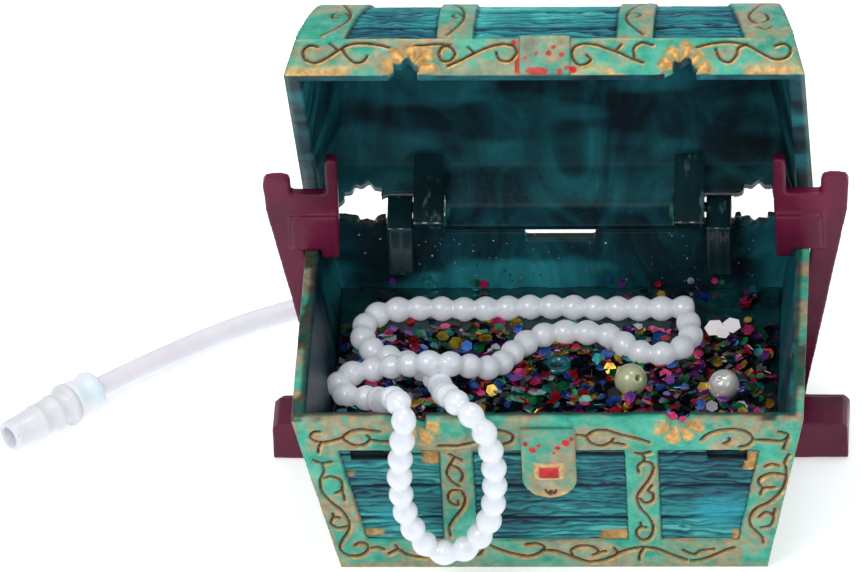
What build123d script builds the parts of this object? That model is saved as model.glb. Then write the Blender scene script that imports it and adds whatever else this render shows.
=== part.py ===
from build123d import *
import math
import os

# Bubbling treasure chest for an aquarium, in millimetres.
# +Z is up, the front faces -Y, and the origin is the middle of the base's underside.

# Chest base
CHEST_LENGTH = 100.0
CHEST_DEPTH = 72.0
BASE_HEIGHT = 41.0
END_TAPER = 8.0
SIDE_TAPER = 6.4
WALL = 2.8
RECESS = 1.0
GLUE_GAP = 0.05

# Lid, drawn shut and then swung open
RIM_GAP = 0.2
BAND_HEIGHT = 8.0
LID_RISE = 25.0
LID_WALL = 2.6
LID_END_SLOPE = 0.268
LID_OPEN_ANGLE = 57.0
HINGE_Y = 34.6
HINGE_Z = 41.0

RIM_Z = BASE_HEIGHT + RIM_GAP
BAND_TOP = RIM_Z + BAND_HEIGHT
LID_TOP = RIM_Z + LID_RISE

# Hinges
PIN_RADIUS = 1.0
EYE_RADIUS = 2.4
LUG_X = (29.2, 34.2)
ARM_X = (22.9, 28.9)

# Inside the base
FLOOR_THICKNESS = 2.2
TRAY_HEIGHT = 20.0
TRAY_THICKNESS = 2.0
BED_THICKNESS = 2.5
BED_TOP = TRAY_HEIGHT + TRAY_THICKNESS + BED_THICKNESS

# Air line
AIR_HEIGHT = 8.0
AIR_TUBE_RADIUS = 2.0
AIR_BORE_RADIUS = 1.0
NOZZLE_Y = 3.5

# Treasure
STRAND_RADIUS = 2.35
PEARL_SINK = 0.5

os.makedirs("parts", exist_ok=True)


def save(solid, name):
    solid.label = name
    export_step(solid, f"parts/{name}.step")


def half_length(z):
    """Half the base's outside length at a height."""
    return CHEST_LENGTH / 2 - END_TAPER * (1 - z / BASE_HEIGHT)


def half_depth(z):
    """Half the base's outside depth at a height."""
    return CHEST_DEPTH / 2 - SIDE_TAPER * (1 - z / BASE_HEIGHT)


def tapered_slab(low, high, inset):
    """A slab of the base's tapered form between two heights, inset from its outside."""
    with BuildPart() as slab:
        for z in (low, high):
            with BuildSketch(Plane.XY.offset(z)):
                Rectangle(2 * (half_length(z) - inset), 2 * (half_depth(z) - inset))
        loft()
    return slab.part


def side_plane(x):
    """A drawing plane whose local axes are the chest's Y and Z, at one X."""
    return Plane(origin=(x, 0, 0), x_dir=(0, 1, 0), z_dir=(1, 0, 0))


# A plane on each outside wall of the base, from the middle of its rim, with local Y up the wall.
# Distances down the wall from the rim are negative.
front_lean = math.atan2(SIDE_TAPER, BASE_HEIGHT)
end_lean = math.atan2(END_TAPER, BASE_HEIGHT)
front_wall = Plane(
    origin=(0, -half_depth(BASE_HEIGHT), BASE_HEIGHT),
    x_dir=(1, 0, 0),
    z_dir=(0, -math.cos(front_lean), -math.sin(front_lean)),
)
back_wall = Plane(
    origin=(0, half_depth(BASE_HEIGHT), BASE_HEIGHT),
    x_dir=(-1, 0, 0),
    z_dir=(0, math.cos(front_lean), -math.sin(front_lean)),
)
right_wall = Plane(
    origin=(half_length(BASE_HEIGHT), 0, BASE_HEIGHT),
    x_dir=(0, 1, 0),
    z_dir=(math.cos(end_lean), 0, -math.sin(end_lean)),
)
left_wall = Plane(
    origin=(-half_length(BASE_HEIGHT), 0, BASE_HEIGHT),
    x_dir=(0, -1, 0),
    z_dir=(-math.cos(end_lean), 0, -math.sin(end_lean)),
)

# Recessed plank panels: top and bottom lines are measured down the wall from the rim.
PANEL_TOP = 8.6
PANEL_BOTTOM = 34.0
POST_INNER = 15.0
POST_OUTER = 21.2
CORNER_TOP = 41.3
CORNER_BOTTOM = 36.6
END_PANEL_TOP = 27.0
END_PANEL_BOTTOM = 23.0
SLOT_X = 34.8
SLOT_DROP = 10.2
VENT_X = 38.6
VENT_RADIUS = 3.6
RIM_NOTCH_X = 25.5
RIM_NOTCH_RADIUS = 2.4
HINGE_NOTCH = (22.4, 34.7)
HINGE_NOTCH_LOW = 37.8
FLAP_HALF = 22.85
BACK_CUT_HALF = 23.3
BACK_CUT_LOW = 36.5
BACK_SLOT_HALF = 7.0
BACK_SLOT_LOW = 34.6
BACK_RELIEF_RADIUS = 2.1

# ---- Base shell: a tapered open box with raised bands, slots, vents and hinge cut-outs.
outside = tapered_slab(0, BASE_HEIGHT, 0)
inside = tapered_slab(0, BASE_HEIGHT, WALL)
with BuildPart() as base_shell:
    add(outside)
    add(inside, mode=Mode.SUBTRACT)
    for wall in (front_wall, back_wall):
        with BuildSketch(wall):
            with Locations((0, -(PANEL_TOP + PANEL_BOTTOM) / 2)):
                Rectangle(2 * POST_INNER, PANEL_BOTTOM - PANEL_TOP)
            for side in (-1, 1):
                Polygon(
                    (side * POST_OUTER, -PANEL_TOP),
                    (side * CORNER_TOP, -PANEL_TOP),
                    (side * CORNER_BOTTOM, -PANEL_BOTTOM),
                    (side * POST_OUTER, -PANEL_BOTTOM),
                    align=None,
                )
        extrude(amount=-RECESS, mode=Mode.SUBTRACT)
    for wall in (right_wall, left_wall):
        with BuildSketch(wall):
            Polygon(
                (-END_PANEL_TOP, -PANEL_TOP),
                (END_PANEL_TOP, -PANEL_TOP),
                (END_PANEL_BOTTOM, -PANEL_BOTTOM),
                (-END_PANEL_BOTTOM, -PANEL_BOTTOM),
                align=None,
            )
        extrude(amount=-RECESS, mode=Mode.SUBTRACT)
    # Water slots through the front wall, just under the top band.
    with BuildSketch(front_wall):
        with Locations((-SLOT_X, -SLOT_DROP), (SLOT_X, -SLOT_DROP)):
            Rectangle(7.6, 2.6)
    extrude(amount=-2 * WALL, mode=Mode.SUBTRACT)
    # Broken notches in the front rim.
    with BuildSketch(front_wall):
        with Locations((-RIM_NOTCH_X, 0), (RIM_NOTCH_X, 0)):
            Circle(RIM_NOTCH_RADIUS)
    extrude(amount=-2 * WALL, both=True, mode=Mode.SUBTRACT)
    # Back wall: two vents, the hinge notches, the middle cut-out and its slot.
    with BuildSketch(Plane.XZ.offset(-CHEST_DEPTH / 2)):
        with Locations((-VENT_X, BASE_HEIGHT), (VENT_X, BASE_HEIGHT)):
            Circle(VENT_RADIUS)
        for side in (-1, 1):
            middle = side * sum(HINGE_NOTCH) / 2
            with Locations((middle, (HINGE_NOTCH_LOW + BASE_HEIGHT) / 2)):
                Rectangle(HINGE_NOTCH[1] - HINGE_NOTCH[0], BASE_HEIGHT - HINGE_NOTCH_LOW)
        with Locations((0, (BACK_CUT_LOW + BASE_HEIGHT) / 2)):
            Rectangle(2 * BACK_CUT_HALF, BASE_HEIGHT - BACK_CUT_LOW)
        with Locations((0, (BACK_SLOT_LOW + BASE_HEIGHT) / 2)):
            Rectangle(2 * BACK_SLOT_HALF, BASE_HEIGHT - BACK_SLOT_LOW)
    extrude(amount=3 * WALL, both=True, mode=Mode.SUBTRACT)
    # The back rim is hollowed around the hinge line, so that the lid's lower edge can turn.
    with BuildSketch(side_plane(-CHEST_LENGTH)):
        with Locations((HINGE_Y, HINGE_Z)):
            Circle(BACK_RELIEF_RADIUS)
    extrude(amount=2 * CHEST_LENGTH, mode=Mode.SUBTRACT)
    # Hole for the air inlet, low in the back wall.
    with BuildSketch(Plane.XZ.offset(-CHEST_DEPTH / 2)):
        with Locations((0, AIR_HEIGHT)):
            Circle(AIR_TUBE_RADIUS)
    extrude(amount=4 * WALL, mode=Mode.SUBTRACT)
save(base_shell.part, "base_shell")

# ---- Pieces that fill the base: bottom plate, ballast, tray and resin bed.
save(tapered_slab(0, FLOOR_THICKNESS, WALL + GLUE_GAP), "bottom_plate")

with BuildPart() as ballast_weight:
    with BuildSketch(Plane.XY.offset(FLOOR_THICKNESS)):
        with Locations((0, -13)):
            RectangleRounded(68, 20, 3)
    extrude(amount=8)
    chamfer(ballast_weight.faces().sort_by(Axis.Z)[-1].edges(), 1)
save(ballast_weight.part, "ballast_weight")

NOZZLE_RADIUS = 2.6
NOZZLE_FLANGE_RADIUS = 3.6
with BuildPart() as treasure_tray:
    add(tapered_slab(TRAY_HEIGHT, TRAY_HEIGHT + TRAY_THICKNESS, WALL + GLUE_GAP))
    with BuildSketch(Plane.XY.offset(TRAY_HEIGHT)):
        with Locations((0, NOZZLE_Y)):
            Circle(NOZZLE_RADIUS)
    extrude(amount=TRAY_THICKNESS, mode=Mode.SUBTRACT)
save(treasure_tray.part, "treasure_tray")

# Loose pearls are glued into shallow dimples of the bed: x, y, radius.
IVORY_PEARL = (15.0, -4.5, 3.25)
WHITE_PEARL = (33.4, -6.0, 3.1)


def pearl_centre(pearl):
    x, y, radius = pearl
    return (x, y, BED_TOP - PEARL_SINK + radius)


with BuildPart() as glitter_bed:
    add(tapered_slab(BED_TOP - BED_THICKNESS, BED_TOP, WALL + GLUE_GAP))
    with BuildSketch(Plane.XY.offset(BED_TOP - BED_THICKNESS)):
        with Locations((0, NOZZLE_Y)):
            Circle(NOZZLE_RADIUS)
    extrude(amount=BED_THICKNESS, mode=Mode.SUBTRACT)
    for pearl in (IVORY_PEARL, WHITE_PEARL):
        with Locations(pearl_centre(pearl)):
            Sphere(pearl[2] + 0.01, mode=Mode.SUBTRACT)
save(glitter_bed.part, "glitter_bed")

with BuildPart() as loose_pearl_ivory:
    with Locations(pearl_centre(IVORY_PEARL)):
        Sphere(IVORY_PEARL[2])
        Cylinder(0.6, 3 * IVORY_PEARL[2], rotation=(0, 90, -20), mode=Mode.SUBTRACT)
save(loose_pearl_ivory.part, "loose_pearl_ivory")

with BuildPart() as loose_pearl_white:
    with Locations(pearl_centre(WHITE_PEARL)):
        Sphere(WHITE_PEARL[2])
save(loose_pearl_white.part, "loose_pearl_white")

# ---- Air line inside the base: inlet fitting, riser tube and bubble nozzle.
INLET_IN = 22.0
INLET_OUT = 34.0
FLANGE_RADIUS = 3.6
flange_start = half_depth(AIR_HEIGHT + FLANGE_RADIUS) + GLUE_GAP
with BuildPart() as air_inlet_fitting:
    with BuildSketch(Plane(origin=(0, INLET_IN, AIR_HEIGHT), z_dir=(0, 1, 0))):
        Circle(AIR_TUBE_RADIUS - 0.02)
    extrude(amount=INLET_OUT - INLET_IN)
    with BuildSketch(Plane(origin=(0, flange_start, AIR_HEIGHT), z_dir=(0, 1, 0))):
        Circle(FLANGE_RADIUS)
    extrude(amount=INLET_OUT - flange_start)
    with BuildSketch(Plane(origin=(0, INLET_IN, AIR_HEIGHT), z_dir=(0, 1, 0))):
        Circle(AIR_BORE_RADIUS)
    extrude(amount=INLET_OUT - INLET_IN, mode=Mode.SUBTRACT)
save(air_inlet_fitting.part, "air_inlet_fitting")

RISER_BEND = 7.0
nozzle_bottom = TRAY_HEIGHT - 2.0
with BuildPart() as riser_tube:
    with BuildLine() as riser_path:
        FilletPolyline(
            (0, INLET_IN, AIR_HEIGHT),
            (0, NOZZLE_Y, AIR_HEIGHT),
            (0, NOZZLE_Y, nozzle_bottom),
            radius=RISER_BEND,
        )
    with BuildSketch(Plane(origin=riser_path.line @ 0, z_dir=riser_path.line % 0)):
        Circle(AIR_TUBE_RADIUS)
        Circle(AIR_BORE_RADIUS, mode=Mode.SUBTRACT)
    sweep()
save(riser_tube.part, "riser_tube")

with BuildPart() as bubble_nozzle:
    with BuildSketch(Plane.XY.offset(nozzle_bottom)):
        with Locations((0, NOZZLE_Y)):
            Circle(NOZZLE_RADIUS - 0.03)
    extrude(amount=BED_TOP - nozzle_bottom)
    with BuildSketch(Plane.XY.offset(BED_TOP)):
        with Locations((0, NOZZLE_Y)):
            Circle(NOZZLE_FLANGE_RADIUS)
    extrude(amount=1.6)
    fillet(bubble_nozzle.faces().sort_by(Axis.Z)[-1].edges(), 0.6)
    with BuildSketch(Plane.XY.offset(nozzle_bottom)):
        with Locations((0, NOZZLE_Y)):
            Circle(AIR_BORE_RADIUS)
    extrude(amount=BED_TOP + 2 - nozzle_bottom, mode=Mode.SUBTRACT)
save(bubble_nozzle.part, "bubble_nozzle")

# ---- Lock plate on the front wall: a shield with a rounded foot.
PLATE_HALF = 5.3
PLATE_TOP = 2.2
PLATE_PROUD = 0.8
with BuildPart() as base_lock_plate:
    with BuildSketch(front_wall.offset(-RECESS)):
        with BuildLine():
            Polyline(
                (-PLATE_HALF, -16.5),
                (-PLATE_HALF, -PANEL_TOP - GLUE_GAP),
                (PLATE_HALF, -PANEL_TOP - GLUE_GAP),
                (PLATE_HALF, -16.5),
            )
            ThreePointArc((PLATE_HALF, -16.5), (0, -21), (-PLATE_HALF, -16.5))
        make_face()
    extrude(amount=RECESS + PLATE_PROUD)
    with BuildSketch(front_wall):
        with Locations((0, -(PLATE_TOP + PANEL_TOP + 1) / 2)):
            Rectangle(2 * PLATE_HALF, PANEL_TOP + 1 - PLATE_TOP)
    extrude(amount=PLATE_PROUD)
save(base_lock_plate.part, "base_lock_plate")


# ---- Hinges: a lug glued inside the back wall, a pin, and an arm on the lid, each side.
LUG_FRONT = 27.9
LUG_SHOULDER = 37.9
PIN_SHORT = 0.4
ARM_INNER = 29.2
ARM_FOOT_Z = 35.4


def hinge_lug(side):
    """A lug on the inside of the back wall, with an eye on the hinge line."""
    wall_line = WALL + GLUE_GAP
    with BuildPart() as lug:
        with BuildSketch(side_plane(side * LUG_X[0] if side > 0 else -LUG_X[1])):
            Polygon(
                (LUG_FRONT, BED_TOP + GLUE_GAP),
                (half_depth(BED_TOP) - wall_line, BED_TOP + GLUE_GAP),
                (half_depth(LUG_SHOULDER) - wall_line, LUG_SHOULDER),
                (35.2, 38.72),
                (33.4, 43.0),
                (LUG_FRONT, 40.5),
                align=None,
            )
            with Locations((HINGE_Y, HINGE_Z)):
                Circle(EYE_RADIUS)
                Circle(PIN_RADIUS + 0.01, mode=Mode.SUBTRACT)
        extrude(amount=LUG_X[1] - LUG_X[0])
    return lug.part


def hinge_pin(side):
    """A plain pin through the lug and the lid's arm."""
    start = ARM_X[0] + PIN_SHORT if side > 0 else -(LUG_X[1] - PIN_SHORT)
    with BuildPart() as pin:
        with BuildSketch(side_plane(start)):
            with Locations((HINGE_Y, HINGE_Z)):
                Circle(PIN_RADIUS)
        extrude(amount=LUG_X[1] - ARM_X[0] - 2 * PIN_SHORT)
    return pin.part


def hinge_arm(side):
    """An arm on the inside of the shut lid's back wall, with an eye and a short tail."""
    with BuildPart() as arm:
        with BuildSketch(side_plane(ARM_X[0] if side > 0 else -ARM_X[1])):
            with BuildLine():
                Polyline(
                    (ARM_INNER, ARM_FOOT_Z),
                    (32.4, ARM_FOOT_Z),
                    (33.1, 38.4),
                    (33.1, RIM_Z),
                    (32.2, BAND_TOP),
                    (ARM_INNER, BAND_TOP + 1.2),
                    (ARM_INNER, ARM_FOOT_Z),
                )
            make_face()
            with Locations((HINGE_Y, HINGE_Z)):
                Circle(EYE_RADIUS)
                Circle(PIN_RADIUS + 0.06, mode=Mode.SUBTRACT)
        extrude(amount=ARM_X[1] - ARM_X[0])
    return arm.part


# The lid's pieces are drawn shut, then turned about the hinge line to the open rest pose.
hinge_line = Axis((0, HINGE_Y, HINGE_Z), (1, 0, 0))


def open_lid(solid):
    return solid.rotate(hinge_line, -LID_OPEN_ANGLE)


for side, word in ((-1, "left"), (1, "right")):
    save(hinge_lug(side), f"base_hinge_lug_{word}")
    save(hinge_pin(side), f"hinge_pin_{word}")
    save(open_lid(hinge_arm(side)), f"lid_hinge_arm_{word}")

# ---- Lid shell: an arched hollow lid with a raised band, vents, notches and a back flap.


def lid_form(profile_points, arch, end_half):
    """The lid's form: a side profile with an arch, and ends that slope in as they rise."""
    with BuildPart() as form:
        with BuildSketch(side_plane(-CHEST_LENGTH / 2)):
            with BuildLine():
                Polyline(*profile_points)
                ThreePointArc(profile_points[0], arch, profile_points[-1])
            make_face()
        extrude(amount=CHEST_LENGTH)
        rise = LID_TOP + 5 - RIM_Z
        with BuildSketch(Plane.XZ.offset(-CHEST_DEPTH)):
            for side in (-1, 1):
                Polygon(
                    (side * end_half, RIM_Z),
                    (side * (end_half - LID_END_SLOPE * rise), RIM_Z + rise),
                    (side * CHEST_LENGTH, RIM_Z + rise),
                    (side * CHEST_LENGTH, RIM_Z),
                    align=None,
                )
        extrude(amount=2 * CHEST_DEPTH, mode=Mode.SUBTRACT)
    return form.part


lid_outside = lid_form(
    [
        (34.2, BAND_TOP),
        (35.4, BAND_TOP),
        (36.0, RIM_Z),
        (-36.0, RIM_Z),
        (-35.4, BAND_TOP),
        (-34.2, BAND_TOP),
    ],
    (0, LID_TOP),
    CHEST_LENGTH / 2,
)
lid_inside = lid_form(
    [(32.3, BAND_TOP + 0.2), (33.2, RIM_Z), (-33.2, RIM_Z), (-32.3, BAND_TOP + 0.2)],
    (0, LID_TOP - LID_WALL),
    CHEST_LENGTH / 2 - LID_WALL,
)
LID_VENT_X = 39.0
LID_VENT_RADIUS = 4.8
LID_NOTCH_X = 27.0
LID_NOTCH_RADIUS = 3.2
FLAP_LOW = 36.6
HEEL_X = 46.7
HEEL_LENGTH = 3.0
with BuildPart() as lid_shell:
    add(lid_outside)
    add(lid_inside, mode=Mode.SUBTRACT)
    # The flap hangs below the rim between the two hinges.
    with BuildSketch(side_plane(-FLAP_HALF)):
        Polygon(
            (33.4, RIM_Z),
            (33.4, FLAP_LOW),
            (35.6, FLAP_LOW),
            (36.0, RIM_Z),
            align=None,
        )
    extrude(amount=2 * FLAP_HALF)
    # Heels at both ends of the back edge stop the lid before it tips over backwards.
    for side in (-1, 1):
        with BuildSketch(side_plane(side * HEEL_X - HEEL_LENGTH / 2)):
            Polygon(
                (35.5, RIM_Z + 0.3),
                (36.75, RIM_Z + 0.3),
                (36.75, RIM_Z + 2.3),
                (35.5, RIM_Z + 4.0),
                align=None,
            )
        extrude(amount=HEEL_LENGTH)
    # Room for the hinge eyes in the back edge.
    for side in (-1, 1):
        with BuildSketch(side_plane(side * sum(HINGE_NOTCH) / 2 - 6.2)):
            with Locations((HINGE_Y, HINGE_Z)):
                Circle(EYE_RADIUS + 0.4)
        extrude(amount=12.4, mode=Mode.SUBTRACT)
    # Vents in the back edge, and broken notches in the front edge.
    with BuildSketch(Plane.XZ.offset(-CHEST_DEPTH / 2)):
        with Locations((-LID_VENT_X, BASE_HEIGHT), (LID_VENT_X, BASE_HEIGHT)):
            Circle(LID_VENT_RADIUS)
    extrude(amount=2 * WALL, both=True, mode=Mode.SUBTRACT)
    with BuildSketch(Plane.XZ.offset(CHEST_DEPTH / 2)):
        with Locations((-LID_NOTCH_X, RIM_Z), (LID_NOTCH_X, RIM_Z)):
            Circle(LID_NOTCH_RADIUS)
    extrude(amount=2 * WALL, both=True, mode=Mode.SUBTRACT)
save(open_lid(lid_shell.part), "lid_shell")

with BuildPart() as lid_lock_plate:
    with BuildSketch(side_plane(-PLATE_HALF + 0.3)):
        Polygon(
            (-36.0 - GLUE_GAP, RIM_Z),
            (-36.9, RIM_Z),
            (-36.3, BAND_TOP + 0.2),
            (-35.4 - GLUE_GAP, BAND_TOP + 0.2),
            align=None,
        )
    extrude(amount=2 * PLATE_HALF - 0.6)
save(open_lid(lid_lock_plate.part), "lid_lock_plate")

# ---- Side supports: clips that hook over the end walls, with a fork for the lid's edge.
SUPPORT_FRONT = 21.0
SUPPORT_BACK = 23.6
PAD_FRONT = 19.8
FOOT_FRONT = 6.0
FOOT_REAR = 15.5
FOOT_HEIGHT = 8.6
FOOT_BAR_HEIGHT = 3.0
FOOT_OUT = 57.2
LEG_GAP = 0.35
LEG_WIDTH = 5.2
HOOK_IN = 43.2
HOOK_OUT = 46.6
HOOK_LOW = 39.4
SADDLE_Z = 41.15
CROSSBAR_TOP = 54.0
PRONG_IN = (42.9, 45.5)
PRONG_OUT = (52.4, 58.0)
PRONG_IN_TOP = 62.4
PRONG_OUT_TOP = 57.8
PAD_WIDTH = 2.2
PAD_HEIGHT = 8.0
STANDING_GAP = 0.05
FOOT_BEVEL = 1.2


def side_support(side):
    """One clip: foot, sloping leg, saddle over the rim, and a two-pronged fork."""

    def leg_inner(z):
        return half_length(z) + LEG_GAP

    front = Plane(origin=(0, SUPPORT_BACK, 0), x_dir=(1, 0, 0), z_dir=(0, -1, 0))
    with BuildPart() as support:
        with BuildSketch(front):
            points = [
                (leg_inner(STANDING_GAP), STANDING_GAP),
                (leg_inner(STANDING_GAP) + LEG_WIDTH, STANDING_GAP),
                (PRONG_OUT[1] - 0.5, CROSSBAR_TOP - 4),
                (PRONG_OUT[1], PRONG_OUT_TOP),
                (PRONG_OUT[0], PRONG_OUT_TOP),
                (PRONG_OUT[0], CROSSBAR_TOP),
                (PRONG_IN[1], CROSSBAR_TOP),
                (PRONG_IN[1], PRONG_IN_TOP),
                (PRONG_IN[0], PRONG_IN_TOP),
                (HOOK_IN, HOOK_LOW),
                (HOOK_OUT, HOOK_LOW),
                (HOOK_OUT, SADDLE_Z),
                (leg_inner(SADDLE_Z), SADDLE_Z),
            ]
            Polygon(*[(side * x, z) for x, z in points], align=None)
        extrude(amount=SUPPORT_BACK - SUPPORT_FRONT)
        tips = support.edges().filter_by(Axis.Y).group_by(Axis.Z)
        fillet(tips[-1], 1.2)
        tips = support.edges().filter_by(Axis.Y)
        fillet(tips.filter_by_position(Axis.Z, PRONG_OUT_TOP - 0.1, PRONG_OUT_TOP + 0.1), 1.5)
        # Raised pad over the saddle.
        with BuildSketch(Plane(origin=(0, SUPPORT_FRONT, 0), x_dir=(1, 0, 0), z_dir=(0, -1, 0))):
            pad = [
                (HOOK_IN, HOOK_LOW),
                (HOOK_OUT, HOOK_LOW),
                (HOOK_OUT, SADDLE_Z),
                (leg_inner(SADDLE_Z) + PAD_WIDTH, SADDLE_Z),
                (leg_inner(SADDLE_Z) + PAD_WIDTH, SADDLE_Z + PAD_HEIGHT),
                (HOOK_IN, SADDLE_Z + PAD_HEIGHT),
            ]
            Polygon(*[(side * x, z) for x, z in pad], align=None)
        extrude(amount=SUPPORT_FRONT - PAD_FRONT)
        # Foot block in front of the leg, joined to it by a low bar.
        for first, last, top in (
            (FOOT_FRONT, FOOT_REAR, FOOT_HEIGHT),
            (FOOT_REAR, SUPPORT_BACK, FOOT_BAR_HEIGHT),
        ):
            foot_plane = Plane(origin=(0, last, 0), x_dir=(1, 0, 0), z_dir=(0, -1, 0))
            inner = leg_inner(FOOT_HEIGHT) + 0.2
            with BuildSketch(foot_plane):
                foot = [
                    (inner, STANDING_GAP),
                    (FOOT_OUT, STANDING_GAP),
                    (FOOT_OUT, top - FOOT_BEVEL),
                    (FOOT_OUT - FOOT_BEVEL, top),
                    (inner, top),
                ]
                Polygon(*[(side * x, z) for x, z in foot], align=None)
            extrude(amount=last - first)
    return support.part


save(side_support(-1), "side_support_left")
save(side_support(1), "side_support_right")


# ---- Flexible runs: straight stretches joined by tangent arcs.
def corner_radii(points):
    """Each corner's radius: 0.45 of the shorter run beside it, over the tangent of half the turn."""
    radii = []
    for before, here, after in zip(points, points[1:], points[2:]):
        arriving = Vector(*here) - Vector(*before)
        leaving = Vector(*after) - Vector(*here)
        half_turn = math.radians(arriving.get_angle(leaving)) / 2
        shorter = min(arriving.length, leaving.length)
        radii.append(0.45 * shorter / math.tan(half_turn))
    return radii


def flexible_tube(name, points, radius):
    """A plain round tube along a route, with its length and tightest bends printed."""
    radii = corner_radii(points)
    with BuildPart() as tube:
        with BuildLine() as path:
            FilletPolyline(*points, radius=radii)
        with BuildSketch(Plane(origin=path.line @ 0, z_dir=path.line % 0)):
            Circle(radius)
        sweep()
    length = sum(edge.length for edge in path.edges())
    volume_ratio = tube.part.volume / (length * math.pi * radius**2)
    print(name, "length", round(length, 1), "volume ratio", round(volume_ratio, 4))
    print("  radii", [round(r, 1) for r in radii])
    save(tube.part, name)


AIR_ROUTE = [
    (0, INLET_OUT, AIR_HEIGHT),
    (0, 44, AIR_HEIGHT),
    (-11, 58, 4.2),
    (-30, 62.5, 2.2),
    (-52, 55.8, 2.1),
    (-73.5, 44.2, 2.2),
    (-93.9, 23.4, 4.5),
]
flexible_tube("air_tube", AIR_ROUTE, AIR_TUBE_RADIUS)

# The strand lies on the bed, climbs over the front rim, hangs in a loop, and comes back in.
STRAND_ROUTE = [
    (22.8, 20.0, 26.95),
    (11, 19.4, 27.0),
    (-3, 20.6, 26.95),
    (-17, 19.2, 27.0),
    (-29, 20.2, 26.95),
    (-36.4, 18.4, 27.0),
    (-39.8, 12.2, 27.0),
    (-36.8, 5.9, 27.0),
    (-30.8, 4.8, 27.8),
    (-25.6, 2.6, 32.6),
    (-23.2, -4.2, 34.2),
    (-21.4, -12.6, 35.0),
    (-19.8, -22.0, 39.0),
    (-17.0, -30.6, 47.2),
    (-12.2, -38.8, 47.0),
    (-10.6, -40.4, 37.6),
    (-10.2, -39.8, 28.2),
    (-11.4, -39.4, 18.6),
    (-16.6, -39.2, 11.0),
    (-23.4, -39.2, 10.8),
    (-28.0, -39.4, 18.8),
    (-29.2, -39.8, 28.4),
    (-28.4, -40.4, 37.6),
    (-26.8, -38.8, 47.0),
    (-27.6, -30.6, 47.2),
    (-30.0, -22.2, 38.6),
    (-33.0, -14.8, 31.0),
    (-37.4, -12.6, 28.2),
    (-41.3, -9.6, 28.0),
    (-41.2, -3.8, 28.0),
    (-36.6, -1.4, 28.2),
    (-27.0, -2.0, 28.2),
    (-18.4, -1.4, 28.2),
    (-11.6, -1.8, 28.0),
    (-8.4, 5.6, 27.4),
    (-3.0, 11.4, 27.0),
    (4.4, 12.0, 26.95),
    (11.2, 10.6, 27.0),
    (15.0, 5.4, 26.95),
    (20.6, 3.8, 27.0),
    (26.2, 7.4, 26.95),
    (28.6, 12.8, 27.0),
    (26.6, 17.0, 26.95),
]
flexible_tube("pearl_strand", STRAND_ROUTE, STRAND_RADIUS)

# ---- Fitting on the free end of the air tube: a white collar and a clear socket.
COLLAR_LENGTH = 6.5
COLLAR_RADIUS = 4.25
SOCKET_FLANGE = 1.6
SOCKET_FLANGE_RADIUS = 4.4
SOCKET_RADIUS = 3.5
SOCKET_LENGTH = 14.5
SOCKET_BORE = 2.05
fitting_axis = Vector(-0.71, -0.704, 0).normalized()
fitting_start = Vector(*AIR_ROUTE[-1])


def fitting_plane(distance):
    return Plane(origin=fitting_start + fitting_axis * distance, z_dir=fitting_axis)


with BuildPart() as tube_collar:
    with BuildSketch(fitting_plane(0)):
        Circle(COLLAR_RADIUS)
    extrude(amount=COLLAR_LENGTH)
    fillet(tube_collar.edges().filter_by(GeomType.CIRCLE), 0.7)
    with BuildSketch(fitting_plane(0)):
        Circle(AIR_BORE_RADIUS)
    extrude(amount=COLLAR_LENGTH, mode=Mode.SUBTRACT)
save(tube_collar.part, "tube_collar")

socket_start = COLLAR_LENGTH
with BuildPart() as clear_connector:
    with BuildSketch(fitting_plane(socket_start)):
        Circle(SOCKET_FLANGE_RADIUS)
    extrude(amount=SOCKET_FLANGE)
    with BuildSketch(fitting_plane(socket_start)):
        Circle(SOCKET_RADIUS)
    extrude(amount=SOCKET_FLANGE + SOCKET_LENGTH)
    with BuildSketch(fitting_plane(socket_start)):
        Circle(SOCKET_BORE)
    extrude(amount=SOCKET_FLANGE + SOCKET_LENGTH, mode=Mode.SUBTRACT)
save(clear_connector.part, "clear_connector")
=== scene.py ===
import bpy
import bmesh
import math
import random
import numpy as np
from mathutils import Matrix, Vector


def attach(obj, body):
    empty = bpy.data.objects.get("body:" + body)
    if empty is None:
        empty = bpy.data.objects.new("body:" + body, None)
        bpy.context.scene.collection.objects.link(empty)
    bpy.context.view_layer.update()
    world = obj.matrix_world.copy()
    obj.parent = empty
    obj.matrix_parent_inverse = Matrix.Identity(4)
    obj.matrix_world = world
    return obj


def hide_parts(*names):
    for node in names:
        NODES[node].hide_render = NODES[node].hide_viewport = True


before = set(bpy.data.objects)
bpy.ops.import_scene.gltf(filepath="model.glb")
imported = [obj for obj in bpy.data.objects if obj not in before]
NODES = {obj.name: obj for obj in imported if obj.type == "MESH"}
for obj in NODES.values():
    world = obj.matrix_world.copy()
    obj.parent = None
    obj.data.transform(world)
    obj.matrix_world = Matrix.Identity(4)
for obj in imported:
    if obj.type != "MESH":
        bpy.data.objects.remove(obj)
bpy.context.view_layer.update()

MM = 0.001

# ---------------- camera
YAW, PITCH, ROLL = math.radians(3.947), math.radians(36.151), math.radians(-2.465)
AIM = Vector((0, 0, 0.040))
CAMERA_DISTANCE = 2.6685
AIM_LEFT, AIM_UP = 0.02423, 0.00561

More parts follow.
